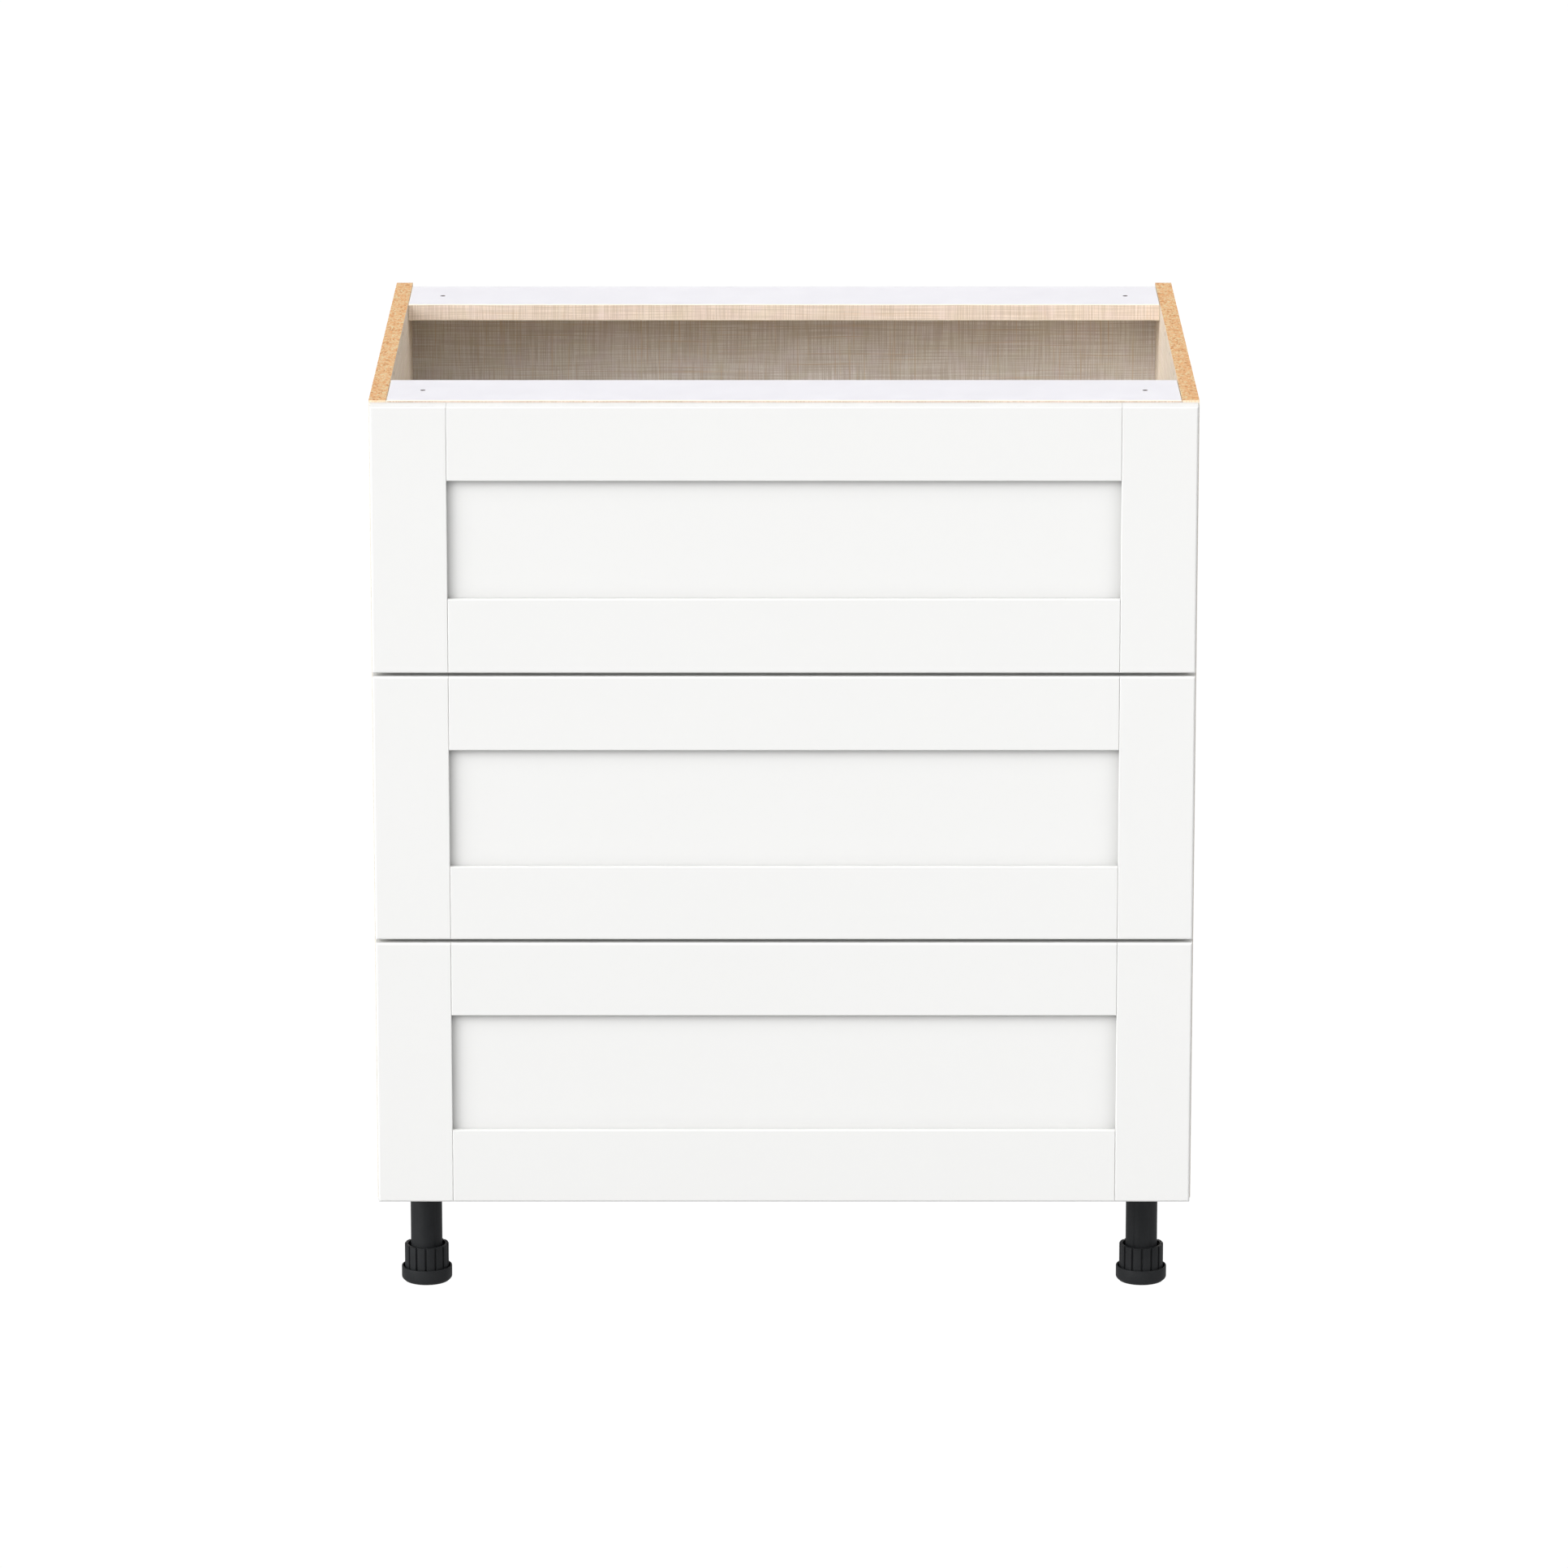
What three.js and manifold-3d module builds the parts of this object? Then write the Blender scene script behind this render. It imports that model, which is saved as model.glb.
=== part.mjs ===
// Base cabinet with three drawers, frameless board carcass on four adjustable legs.
// Millimetres, +Z up. Origin on the floor, under the centre of the cabinet's box.
// The drawer fronts face -Y, +X is to the right when facing the fronts.
import * as THREE from 'three';
import { mergeVertices } from 'three/addons/utils/BufferGeometryUtils.js';
import Module from 'manifold-3d';

const wasm = await Module();
wasm.setup();

// ---------------------------------------------------------------- driving dimensions
const WIDTH = 762;            // over the side panels
const DEPTH = 609.6;          // wall to the face of the drawer fronts
const HEIGHT = 876.3;         // floor to the top of the side panels
const LEG_HEIGHT = 114.3;     // floor to the underside of the carcass
const BOARD = 15.9;           // chipboard thickness
const FRONT_THICK = 19;       // drawer front thickness
const BUMPER_GAP = 1.6;       // between a closed front and the carcass
const REVEAL = 1.6;           // front edge to carcass edge
const FRONT_GAP = 3.2;        // between two fronts
const FRAME_WIDE = 69.85;     // stiles and rails of a drawer front
const RECESS = 6.2;           // frame face to centre panel face
const PANEL_THICK = 6.4;      // centre panel
const PANEL_TONGUE = 8;       // centre panel and rail tenon in the frame groove
const EASE_OUT = 1.5;         // chamfer on the front's outer edges
const EASE_IN = 0.8;          // chamfer on the frame joints, which makes the V groove
const FIT = 0.3;              // clearance between two pieces that touch
const HALF_FIT = 0.15;

const BACK_THICK = 6;         // back panel
const BACK_DEPTH = 570;       // carcass front edge to the back panel's inner face
const GROOVE = 8;             // depth of the grooves that hold the back panel
const RAIL_WIDE = 96;         // top rails
const PILOT_D = 5;            // pilot and system holes
const PILOT_X = 333;          // worktop screw holes in the top rails
const PILOT_DEPTHS = [47, 519];
const SYSTEM_DEPTHS = [167, 265, 364];  // blind holes near the top of the side panels
const SYSTEM_DROP = 8;

const RUNNER_RISE = 20;       // front's lower edge to the drawer's datum
const RUNNER_LONG = 530;
const SIDE_LONG = 532.9;
const SIDE_SHEET = 1.2;       // folded steel drawer side
const RUNNER_SHEET = 1.3;     // runner members
const DRAWER_WALL = 126;      // datum to the drawer side's upper edge
const DRAWER_BACK_TOP = 120;

const LEG_X = 340.5;
const LEG_FRONT_Y = -173;
const LEG_REAR_Y = 235;
const TUBE_R = 15;
const COLLAR_R = 20.9;
const COLLAR_BORE_R = 17.6;
const COLLAR_RIBS = 14;
const COLLAR_Z0 = 8;
const COLLAR_FLOOR = 10.3;
const COLLAR_Z1 = 36;
const DISH_R = 24;

// ---------------------------------------------------------------- places that follow
const HALF = WIDTH / 2;
const INNER = HALF - BOARD;                       // side panel inner face
const REAR = DEPTH / 2;                           // wall plane
const FACE = -DEPTH / 2;                          // drawer front face
const FRONT_BACK = FACE + FRONT_THICK;            // drawer front rear face
const EDGE = FRONT_BACK + BUMPER_GAP;             // carcass front edge
const FLOOR_TOP = LEG_HEIGHT + BOARD;             // bottom panel upper face
const BACK_Y = EDGE + BACK_DEPTH;                 // back panel inner face
const BACK_TOP = HEIGHT - 3;                      // back panel upper edge
const HALF_FRONT = HALF - REVEAL;                 // half width of a drawer front
const FRONT_HIGH = (HEIGHT - LEG_HEIGHT - 2 * REVEAL - 2 * FRONT_GAP) / 3;
const DRAWERS = ['bottom', 'middle', 'top'].map((name, i) => ({
  name,
  z: LEG_HEIGHT + REVEAL + i * (FRONT_HIGH + FRONT_GAP),
}));

// ---------------------------------------------------------------- finishes
const finish = (colour, roughness, metalness = 0) => () =>
  new THREE.MeshStandardMaterial({ color: colour, roughness, metalness });
const WHITE_FRONT = finish(0xf6f6f4, 0.45);
const CARCASS = finish(0xe9dcc8, 0.55);
const RAIL_WHITE = finish(0xf1f0f5, 0.5);
const LINEN = finish(0xdccab4, 0.6);
const LEG_BLACK = finish(0x2c2d2e, 0.5);
const STEEL_WHITE = finish(0xe9eae8, 0.4, 0.1);
const ZINC = finish(0xb4b8bb, 0.35, 0.9);

// ---------------------------------------------------------------- geometry helpers
// A closed geometry as a solid for cutting and joining, and back.
function solid(geometry) {
  const g = geometry.clone();
  for (const name of Object.keys(g.attributes)) if (name !== 'position') g.deleteAttribute(name);
  const m = mergeVertices(g, 1e-4);
  const index = m.index ? m.index.array : Uint32Array.from({ length: m.attributes.position.count }, (_, i) => i);
  return new wasm.Manifold(new wasm.Mesh({
    numProp: 3,
    vertProperties: Float32Array.from(m.attributes.position.array),
    triVerts: Uint32Array.from(index),
  }));
}

function geometryOf(manifold) {
  const mesh = manifold.getMesh();
  const g = new THREE.BufferGeometry();
  const n = mesh.numProp;
  const count = mesh.vertProperties.length / n;
  const xyz = new Float32Array(count * 3);
  for (let i = 0; i < count; i++) for (let k = 0; k < 3; k++) xyz[3 * i + k] = mesh.vertProperties[n * i + k];
  g.setAttribute('position', new THREE.BufferAttribute(xyz, 3));
  g.setIndex(new THREE.BufferAttribute(Uint32Array.from(mesh.triVerts), 1));
  g.computeVertexNormals();
  return g;
}

// Joins the first list of closed geometries and cuts the second list from them.
function carve(adds, cuts = []) {
  let body = solid(adds[0]);
  for (const g of adds.slice(1)) body = body.add(solid(g));
  for (const g of cuts) body = body.subtract(solid(g));
  return geometryOf(body);
}

function box(x0, x1, y0, y1, z0, z1) {
  const g = new THREE.BoxGeometry(Math.abs(x1 - x0), y1 - y0, z1 - z0);
  g.translate((x0 + x1) / 2, (y0 + y1) / 2, (z0 + z1) / 2);
  return g;
}

function outline(points) {
  let area = 0;
  points.forEach(([a, b], i) => {
    const [c, d] = points[(i + 1) % points.length];
    area += a * d - c * b;
  });
  const list = area < 0 ? [...points].reverse() : points;
  return new THREE.Shape(list.map(([a, b]) => new THREE.Vector2(a, b)));
}

// An (x, y) outline carried up from z0 to z1.
function prismZ(points, z0, z1, holes = []) {
  const shape = outline(points);
  for (const h of holes) shape.holes.push(h);
  const g = new THREE.ExtrudeGeometry(shape, { depth: z1 - z0, bevelEnabled: false, curveSegments: 12 });
  g.translate(0, 0, z0);
  return g;
}

// A (y, z) outline carried along x.
function prismX(points, x0, x1) {
  const g = new THREE.ExtrudeGeometry(outline(points), { depth: x1 - x0, bevelEnabled: false });
  g.applyMatrix4(new THREE.Matrix4().makeBasis(
    new THREE.Vector3(0, 1, 0), new THREE.Vector3(0, 0, 1), new THREE.Vector3(1, 0, 0)));
  g.translate(x0, 0, 0);
  return g;
}

// A round bar along z, or along x or y when turned.
function bar(radius, length, x, y, z, axis = 'z', segments = 16) {
  const g = new THREE.CylinderGeometry(radius, radius, length, segments);
  if (axis === 'z') g.rotateX(Math.PI / 2);
  if (axis === 'x') g.rotateZ(Math.PI / 2);
  g.translate(x, y, z);
  return g;
}

// A body of revolution about z from (radius, z) points that start and end on the axis
// or close on themselves.
function turned(points, segments = 32) {
  const g = new THREE.LatheGeometry(points.map(([r, z]) => new THREE.Vector2(r, z)), segments);
  g.rotateX(Math.PI / 2);
  return g;
}

const assembly = new THREE.Group();
function piece(name, geometry, material, group = assembly, place = [0, 0, 0]) {
  const mesh = new THREE.Mesh(geometry, material());
  mesh.name = name;
  mesh.position.set(...place);
  group.add(mesh);
  return mesh;
}

// ---------------------------------------------------------------- carcass
const carcass = new THREE.Group();
assembly.add(carcass);

// Side panels: full height, with a groove for the back panel along the rear, stopped
// just below the upper edge, and three blind holes near the top of the inner face.
function sidePanel(sign) {
  const inside = sign * INNER;
  const groove = sign * (INNER + GROOVE);
  const span = (a, b) => [Math.min(a, b), Math.max(a, b)];
  const cuts = [
    box(...span(inside - sign, groove), BACK_Y - FIT, BACK_Y + BACK_THICK + FIT, LEG_HEIGHT - 1, BACK_TOP + FIT),
  ];
  for (const d of SYSTEM_DEPTHS) {
    cuts.push(bar(PILOT_D / 2, 12, sign * (INNER + 4), EDGE + d, HEIGHT - SYSTEM_DROP, 'x'));
  }
  return carve([box(...span(inside, sign * HALF), EDGE, REAR, LEG_HEIGHT, HEIGHT)], cuts);
}
piece('side_panel_left', sidePanel(-1), CARCASS, carcass);
piece('side_panel_right', sidePanel(1), CARCASS, carcass);

// Bottom panel between the sides, with the same groove in its upper face.
piece('bottom_panel', carve(
  [box(-INNER + FIT, INNER - FIT, EDGE, REAR, LEG_HEIGHT, FLOOR_TOP)],
  [box(-INNER - 1, INNER + 1, BACK_Y - FIT, BACK_Y + BACK_THICK + FIT, FLOOR_TOP - GROOVE, FLOOR_TOP + 1)],
), CARCASS, carcass);

// Back panel, held in the grooves on three sides, its upper edge just under the rail's.
piece('back_panel', box(
  -INNER - GROOVE + FIT, INNER + GROOVE - FIT,
  BACK_Y, BACK_Y + BACK_THICK,
  FLOOR_TOP - GROOVE + FIT, BACK_TOP,
), LINEN, carcass);

// Top rails laid flat between the sides, each with two pilot holes for worktop screws.
function topRail(y0, y1, holeDepth) {
  return carve(
    [box(-INNER + FIT, INNER - FIT, y0, y1, HEIGHT - BOARD, HEIGHT)],
    [-1, 1].map((s) => bar(PILOT_D / 2, BOARD + 4, s * PILOT_X, EDGE + holeDepth, HEIGHT - BOARD / 2)),
  );
}
piece('top_rail_front', topRail(EDGE, EDGE + RAIL_WIDE, PILOT_DEPTHS[0]), RAIL_WHITE, carcass);
piece('top_rail_rear', topRail(BACK_Y - RAIL_WIDE, BACK_Y - FIT, PILOT_DEPTHS[1]), RAIL_WHITE, carcass);

// ---------------------------------------------------------------- legs
// Leg body: square flange under the bottom panel with four screw holes, four gussets
// and a tube with a nut section at its lower end, open below.
const FLANGE = 62;
const FLANGE_THICK = 4;
const TUBE_END = 21;            // tube's lower end, inside the collar
function legBody() {
  const top = LEG_HEIGHT - FIT;
  const under = top - FLANGE_THICK;
  const h = FLANGE / 2;
  const c = 8;
  const plate = prismZ([
    [-h + c, -h], [h - c, -h], [h, -h + c], [h, h - c], [h - c, h], [-h + c, h], [-h, h - c], [-h, -h + c],
  ], under, top);
  const tube = turned([
    [0, under + 1], [TUBE_R, under + 1], [TUBE_R, TUBE_END + 0.8], [TUBE_R - 0.8, TUBE_END],
    [7.6, TUBE_END], [7.6, TUBE_END + 16], [12, TUBE_END + 18], [12, under - 3], [0, under - 3],
  ].reverse());
  const gusset = prismX([
    [TUBE_R - 1, under + 1], [TUBE_R - 1, under - 16], [TUBE_R + 0.5, under - 16], [h - 6, under - 1.2], [h - 6, under + 1],
  ], -1.3, 1.3);
  const adds = [plate, tube];
  for (let i = 0; i < 4; i++) adds.push(gusset.clone().rotateZ((i * Math.PI) / 2));
  const cuts = [];
  for (const a of [-1, 1]) for (const b of [-1, 1]) cuts.push(bar(2.3, 12, a * 22, b * 22, under + 2));
  return carve(adds, cuts);
}

// Adjuster: ribbed collar that is turned by hand, its floor, and the spindle that
// screws up into the tube.
function adjuster() {
  const rim = [];
  for (let i = 0; i < COLLAR_RIBS; i++) {
    const a = ((i + 0.5) / COLLAR_RIBS) * 2 * Math.PI;   // one groove faces the front
    const step = (2 * Math.PI) / COLLAR_RIBS;
    const groove = 0.055;
    rim.push([COLLAR_R * Math.cos(a + groove), COLLAR_R * Math.sin(a + groove)]);
    rim.push([(COLLAR_R + 0.1) * Math.cos(a + step / 2), (COLLAR_R + 0.1) * Math.sin(a + step / 2)]);
    rim.push([COLLAR_R * Math.cos(a + step - groove), COLLAR_R * Math.sin(a + step - groove)]);
    rim.push([(COLLAR_R - 1.1) * Math.cos(a + step), (COLLAR_R - 1.1) * Math.sin(a + step)]);
  }
  const collar = prismZ(rim, COLLAR_Z0, COLLAR_Z1);
  const spindle = turned([
    [0, 80], [6, 80], [7, 79], [7, COLLAR_Z0 + 1], [0, COLLAR_Z0 + 1],
  ].reverse(), 24);
  const bore = bar(COLLAR_BORE_R, 40, 0, 0, COLLAR_FLOOR + 20, 'z', 32);
  const socket = bar(6, 12, 0, 0, COLLAR_Z0, 'z', 24);
  const ring = geometryOf(solid(collar).subtract(solid(bore)));
  return carve([ring, spindle], [socket]);
}

// Foot: dish with a raised rim and a pin that the adjuster turns on.
function foot() {
  return turned([
    [0, 0], [DISH_R - 2.2, 0], [DISH_R - 0.8, 1.1], [DISH_R, 3.2], [DISH_R, 14], [DISH_R - 0.4, 14.5],
    [DISH_R - 1.2, 14.5], [DISH_R - 1.6, 14], [DISH_R - 1.6, 7.2], [5.6, 7.2], [5.6, 12.6], [5, 13.2], [0, 13.2],
  ]);
}

const LEGS = [
  ['front_left', -LEG_X, LEG_FRONT_Y],
  ['front_right', LEG_X, LEG_FRONT_Y],
  ['rear_left', -LEG_X, LEG_REAR_Y],
  ['rear_right', LEG_X, LEG_REAR_Y],
];
for (const [name, x, y] of LEGS) {
  const leg = new THREE.Group();
  leg.position.set(x, y, 0);
  assembly.add(leg);
  piece(`leg_${name}`, legBody(), LEG_BLACK, leg);
  piece(`leg_adjuster_${name}`, adjuster(), LEG_BLACK, leg, [0, 0, 0]);
  piece(`foot_${name}`, foot(), LEG_BLACK, leg);
}

// ---------------------------------------------------------------- drawer fronts
// A five-piece front: the stiles run the full height, the rails stand between them on
// stub tenons, and the centre panel lies in a groove all round.
const PANEL_Y = FACE + RECESS;
const GROOVE_Y0 = PANEL_Y - 0.2;
const GROOVE_Y1 = PANEL_Y + PANEL_THICK + 0.2;
const GROOVE_DEEP = PANEL_TONGUE + 1;
const STILE_X = HALF_FRONT - FRAME_WIDE;          // stile inner edge

// Cross-section of a frame member: a is 0 at the outer edge, FRAME_WIDE at the inner
// edge, and the second number is y.
function frameSection() {
  const w = FRAME_WIDE;
  return [
    [EASE_OUT, FACE], [w - EASE_IN, FACE], [w, FACE + EASE_IN], [w, GROOVE_Y0], [w - GROOVE_DEEP, GROOVE_Y0],
    [w - GROOVE_DEEP, GROOVE_Y1], [w, GROOVE_Y1], [w, FRONT_BACK], [0, FRONT_BACK], [0, FACE + EASE_OUT],
  ];
}

function stile(sign, z) {
  const points = frameSection().map(([a, y]) => [sign * (HALF_FRONT - a), y]);
  return prismZ(points, z, z + FRONT_HIGH);
}

function frontRail(upper, z) {
  const points = frameSection().map(([a, y]) => [y, upper ? z + FRONT_HIGH - a : z + a]);
  const x = STILE_X - HALF_FIT;
  const body = prismX(points, -x, x);
  const [z0, z1] = upper ? [z + FRONT_HIGH - FRAME_WIDE, z + FRONT_HIGH] : [z, z + FRAME_WIDE];
  const low = upper ? z0 + GROOVE_DEEP + FIT : z0;
  const high = upper ? z1 : z1 - GROOVE_DEEP - FIT;
  const tenon = (s) => box(
    Math.min(s * (x - 1), s * (STILE_X + PANEL_TONGUE)), Math.max(s * (x - 1), s * (STILE_X + PANEL_TONGUE)),
    PANEL_Y, PANEL_Y + PANEL_THICK, low, high);
  return carve([body, tenon(-1), tenon(1)]);
}

function centrePanel(z) {
  return box(
    -STILE_X - PANEL_TONGUE, STILE_X + PANEL_TONGUE,
    PANEL_Y, PANEL_Y + PANEL_THICK,
    z + FRAME_WIDE - PANEL_TONGUE, z + FRONT_HIGH - FRAME_WIDE + PANEL_TONGUE);
}

// ---------------------------------------------------------------- runners and drawer boxes
// u runs inward from the side panel's inner face, v up from the drawer's datum.
function strip(sign, datum) {
  return (u0, u1, v0, v1, y0, y1) => box(
    Math.min(sign * (INNER - u0), sign * (INNER - u1)), Math.max(sign * (INNER - u0), sign * (INNER - u1)),
    y0, y1, datum + v0, datum + v1);
}
const RUNNER_Y0 = EDGE + 3.2;
const RUNNER_Y1 = RUNNER_Y0 + RUNNER_LONG;

// Cabinet member: a channel screwed to the side panel.
function cabinetMember(sign, datum) {
  const s = strip(sign, datum);
  const t = RUNNER_SHEET;
  return carve([
    s(FIT, FIT + t, 0, 36, RUNNER_Y0, RUNNER_Y1),
    s(FIT, 12.5, 0, t, RUNNER_Y0, RUNNER_Y1),
    s(FIT, 9, 36 - t, 36, RUNNER_Y0, RUNNER_Y1),
  ], [-240, -112, 48, 208].map((y) =>
    bar(2.2, 8, sign * (INNER - 1), y, datum + 18, 'x', 12)));
}

// Middle member: a channel between the cabinet member and the drawer side.
function middleMember(sign, datum) {
  const s = strip(sign, datum);
  const t = RUNNER_SHEET;
  const y0 = RUNNER_Y0 + 1;
  const y1 = y0 + RUNNER_LONG - 20;
  return carve([
    s(3.4, 3.4 + t, 4, 31, y0, y1),
    s(3.4, 11, 4, 4 + t, y0, y1),
    s(3.4, 11, 31 - t, 31, y0, y1),
  ]);
}

// Drawer side: one folded sheet with a runner track below, a hem along the top, a ledge
// for the base board and a fixing flange at the front.
const SIDE_Y0 = EDGE + 0.2;
const SIDE_Y1 = SIDE_Y0 + SIDE_LONG - 1.5;
function drawerSide(sign, datum) {
  const s = strip(sign, datum);
  const t = SIDE_SHEET;
  return carve([
    s(14.2, 14.2 + t, 7, DRAWER_WALL, SIDE_Y0, SIDE_Y1),
    s(6.4, 6.4 + t, 8, 26.2, SIDE_Y0, SIDE_Y1),
    s(6.4, 14.8, 8, 8 + t, SIDE_Y0, SIDE_Y1),
    s(6.4, 14.8, 25, 25 + t, SIDE_Y0, SIDE_Y1),
    s(14.8, 27, 7, 7 + t, SIDE_Y0, SIDE_Y1),
    s(10.5, 15.4, DRAWER_WALL - t, DRAWER_WALL, SIDE_Y0, SIDE_Y1),
    s(10.5, 10.5 + t, DRAWER_WALL - 8, DRAWER_WALL, SIDE_Y0, SIDE_Y1),
    s(14.2, 40, 30, 110, FRONT_BACK + FIT, FRONT_BACK + FIT + 1.5),
    s(14.2, 14.2 + t, 30, 110, FRONT_BACK + FIT, SIDE_Y0 + 1),
  ], [45, 95].map((v) =>
    bar(2.4, 8, sign * (INNER - 29), FRONT_BACK + 1, datum + v, 'y', 12)));
}

const BOARD_X = INNER - 15.4 - FIT;               // boards between the drawer sides
function drawerBase(datum) {
  return box(-BOARD_X, BOARD_X, FRONT_BACK + FIT + 1.5 + FIT, SIDE_Y1, datum + 8.2 + FIT, datum + 8.2 + FIT + BOARD);
}
function drawerBack(datum) {
  return box(-BOARD_X, BOARD_X, SIDE_Y1 - BOARD, SIDE_Y1, datum + 8.2 + 2 * FIT + BOARD, datum + DRAWER_BACK_TOP);
}

for (const { name, z } of DRAWERS) {
  const datum = z + RUNNER_RISE;
  const fixed = new THREE.Group();
  const middle = new THREE.Group();
  const drawer = new THREE.Group();
  assembly.add(fixed, middle, drawer);
  for (const [side, sign] of [['left', -1], ['right', 1]]) {
    piece(`runner_${name}_${side}`, cabinetMember(sign, datum), ZINC, fixed);
    piece(`runner_middle_member_${name}_${side}`, middleMember(sign, datum), ZINC, middle);
    piece(`drawer_${name}_side_${side}`, drawerSide(sign, datum), STEEL_WHITE, drawer);
    piece(`drawer_${name}_front_stile_${side}`, stile(sign, z), WHITE_FRONT, drawer);
  }
  piece(`drawer_${name}_front_rail_upper`, frontRail(true, z), WHITE_FRONT, drawer);
  piece(`drawer_${name}_front_rail_lower`, frontRail(false, z), WHITE_FRONT, drawer);
  piece(`drawer_${name}_front_panel`, centrePanel(z), WHITE_FRONT, drawer);
  piece(`drawer_${name}_base`, drawerBase(datum), CARCASS, drawer);
  piece(`drawer_${name}_back`, drawerBack(datum), CARCASS, drawer);
}

export default assembly;
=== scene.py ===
import math

import bmesh
import bpy
from mathutils import Matrix, Vector

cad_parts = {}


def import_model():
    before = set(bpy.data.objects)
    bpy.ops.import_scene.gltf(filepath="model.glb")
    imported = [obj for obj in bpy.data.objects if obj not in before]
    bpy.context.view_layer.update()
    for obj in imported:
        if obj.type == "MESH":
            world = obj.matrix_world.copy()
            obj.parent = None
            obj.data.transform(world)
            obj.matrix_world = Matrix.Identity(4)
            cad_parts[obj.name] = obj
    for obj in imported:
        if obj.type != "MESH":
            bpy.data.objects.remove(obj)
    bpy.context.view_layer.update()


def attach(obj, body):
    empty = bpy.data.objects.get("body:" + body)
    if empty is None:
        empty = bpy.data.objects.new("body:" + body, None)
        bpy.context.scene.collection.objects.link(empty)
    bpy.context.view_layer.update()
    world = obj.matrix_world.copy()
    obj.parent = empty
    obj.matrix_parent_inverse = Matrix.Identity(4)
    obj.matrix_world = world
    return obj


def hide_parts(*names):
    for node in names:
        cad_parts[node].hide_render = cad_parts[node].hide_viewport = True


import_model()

# ------------------------------------------------------------------ sizes, in millimetres
K = 0.001
WIDTH, DEPTH, HEIGHT = 762.0, 609.6, 876.3
LEG_HIGH, BOARD, FRONT_THICK = 114.3, 15.9, 19.0
BUMPER, REVEAL, FRONT_GAP = 1.6, 1.6, 3.2
FRAME_WIDE, RECESS, PANEL_THICK = 69.85, 6.2, 6.4
FIT = 0.3
HALF = WIDTH / 2
INNER = HALF - BOARD
REAR = DEPTH / 2
FACE = -DEPTH / 2
FRONT_BACK = FACE + FRONT_THICK
EDGE = FRONT_BACK + BUMPER
FLOOR_TOP = LEG_HIGH + BOARD
BACK_Y = EDGE + 570.0
BACK_THICK = 6.0
BACK_TOP = HEIGHT - 3.0
GROOVE = 8.0
RAIL_WIDE = 96.0
HALF_FRONT = HALF - REVEAL
FRONT_HIGH = (HEIGHT - LEG_HIGH - 2 * REVEAL - 2 * FRONT_GAP) / 3
DRAWERS = [(n, LEG_HIGH + REVEAL + i * (FRONT_HIGH + FRONT_GAP)) for i, n in enumerate(("bottom", "middle", "top"))]
RUNNER_RISE = 20.0
RUNNER_Y0 = EDGE + 3.2
RUNNER_Y1 = RUNNER_Y0 + 530.0
SIDE_Y0 = EDGE + 0.2
SIDE_Y1 = SIDE_Y0 + 531.4
WALL_TOP = 126.0
LEGS = [("front_left", -340.5, -173.0), ("front_right", 340.5, -173.0), ("rear_left", -340.5, 235.0), ("rear_right", 340.5, 235.0)]

SCENE = bpy.context.scene
COLLECTION = SCENE.collection


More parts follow.
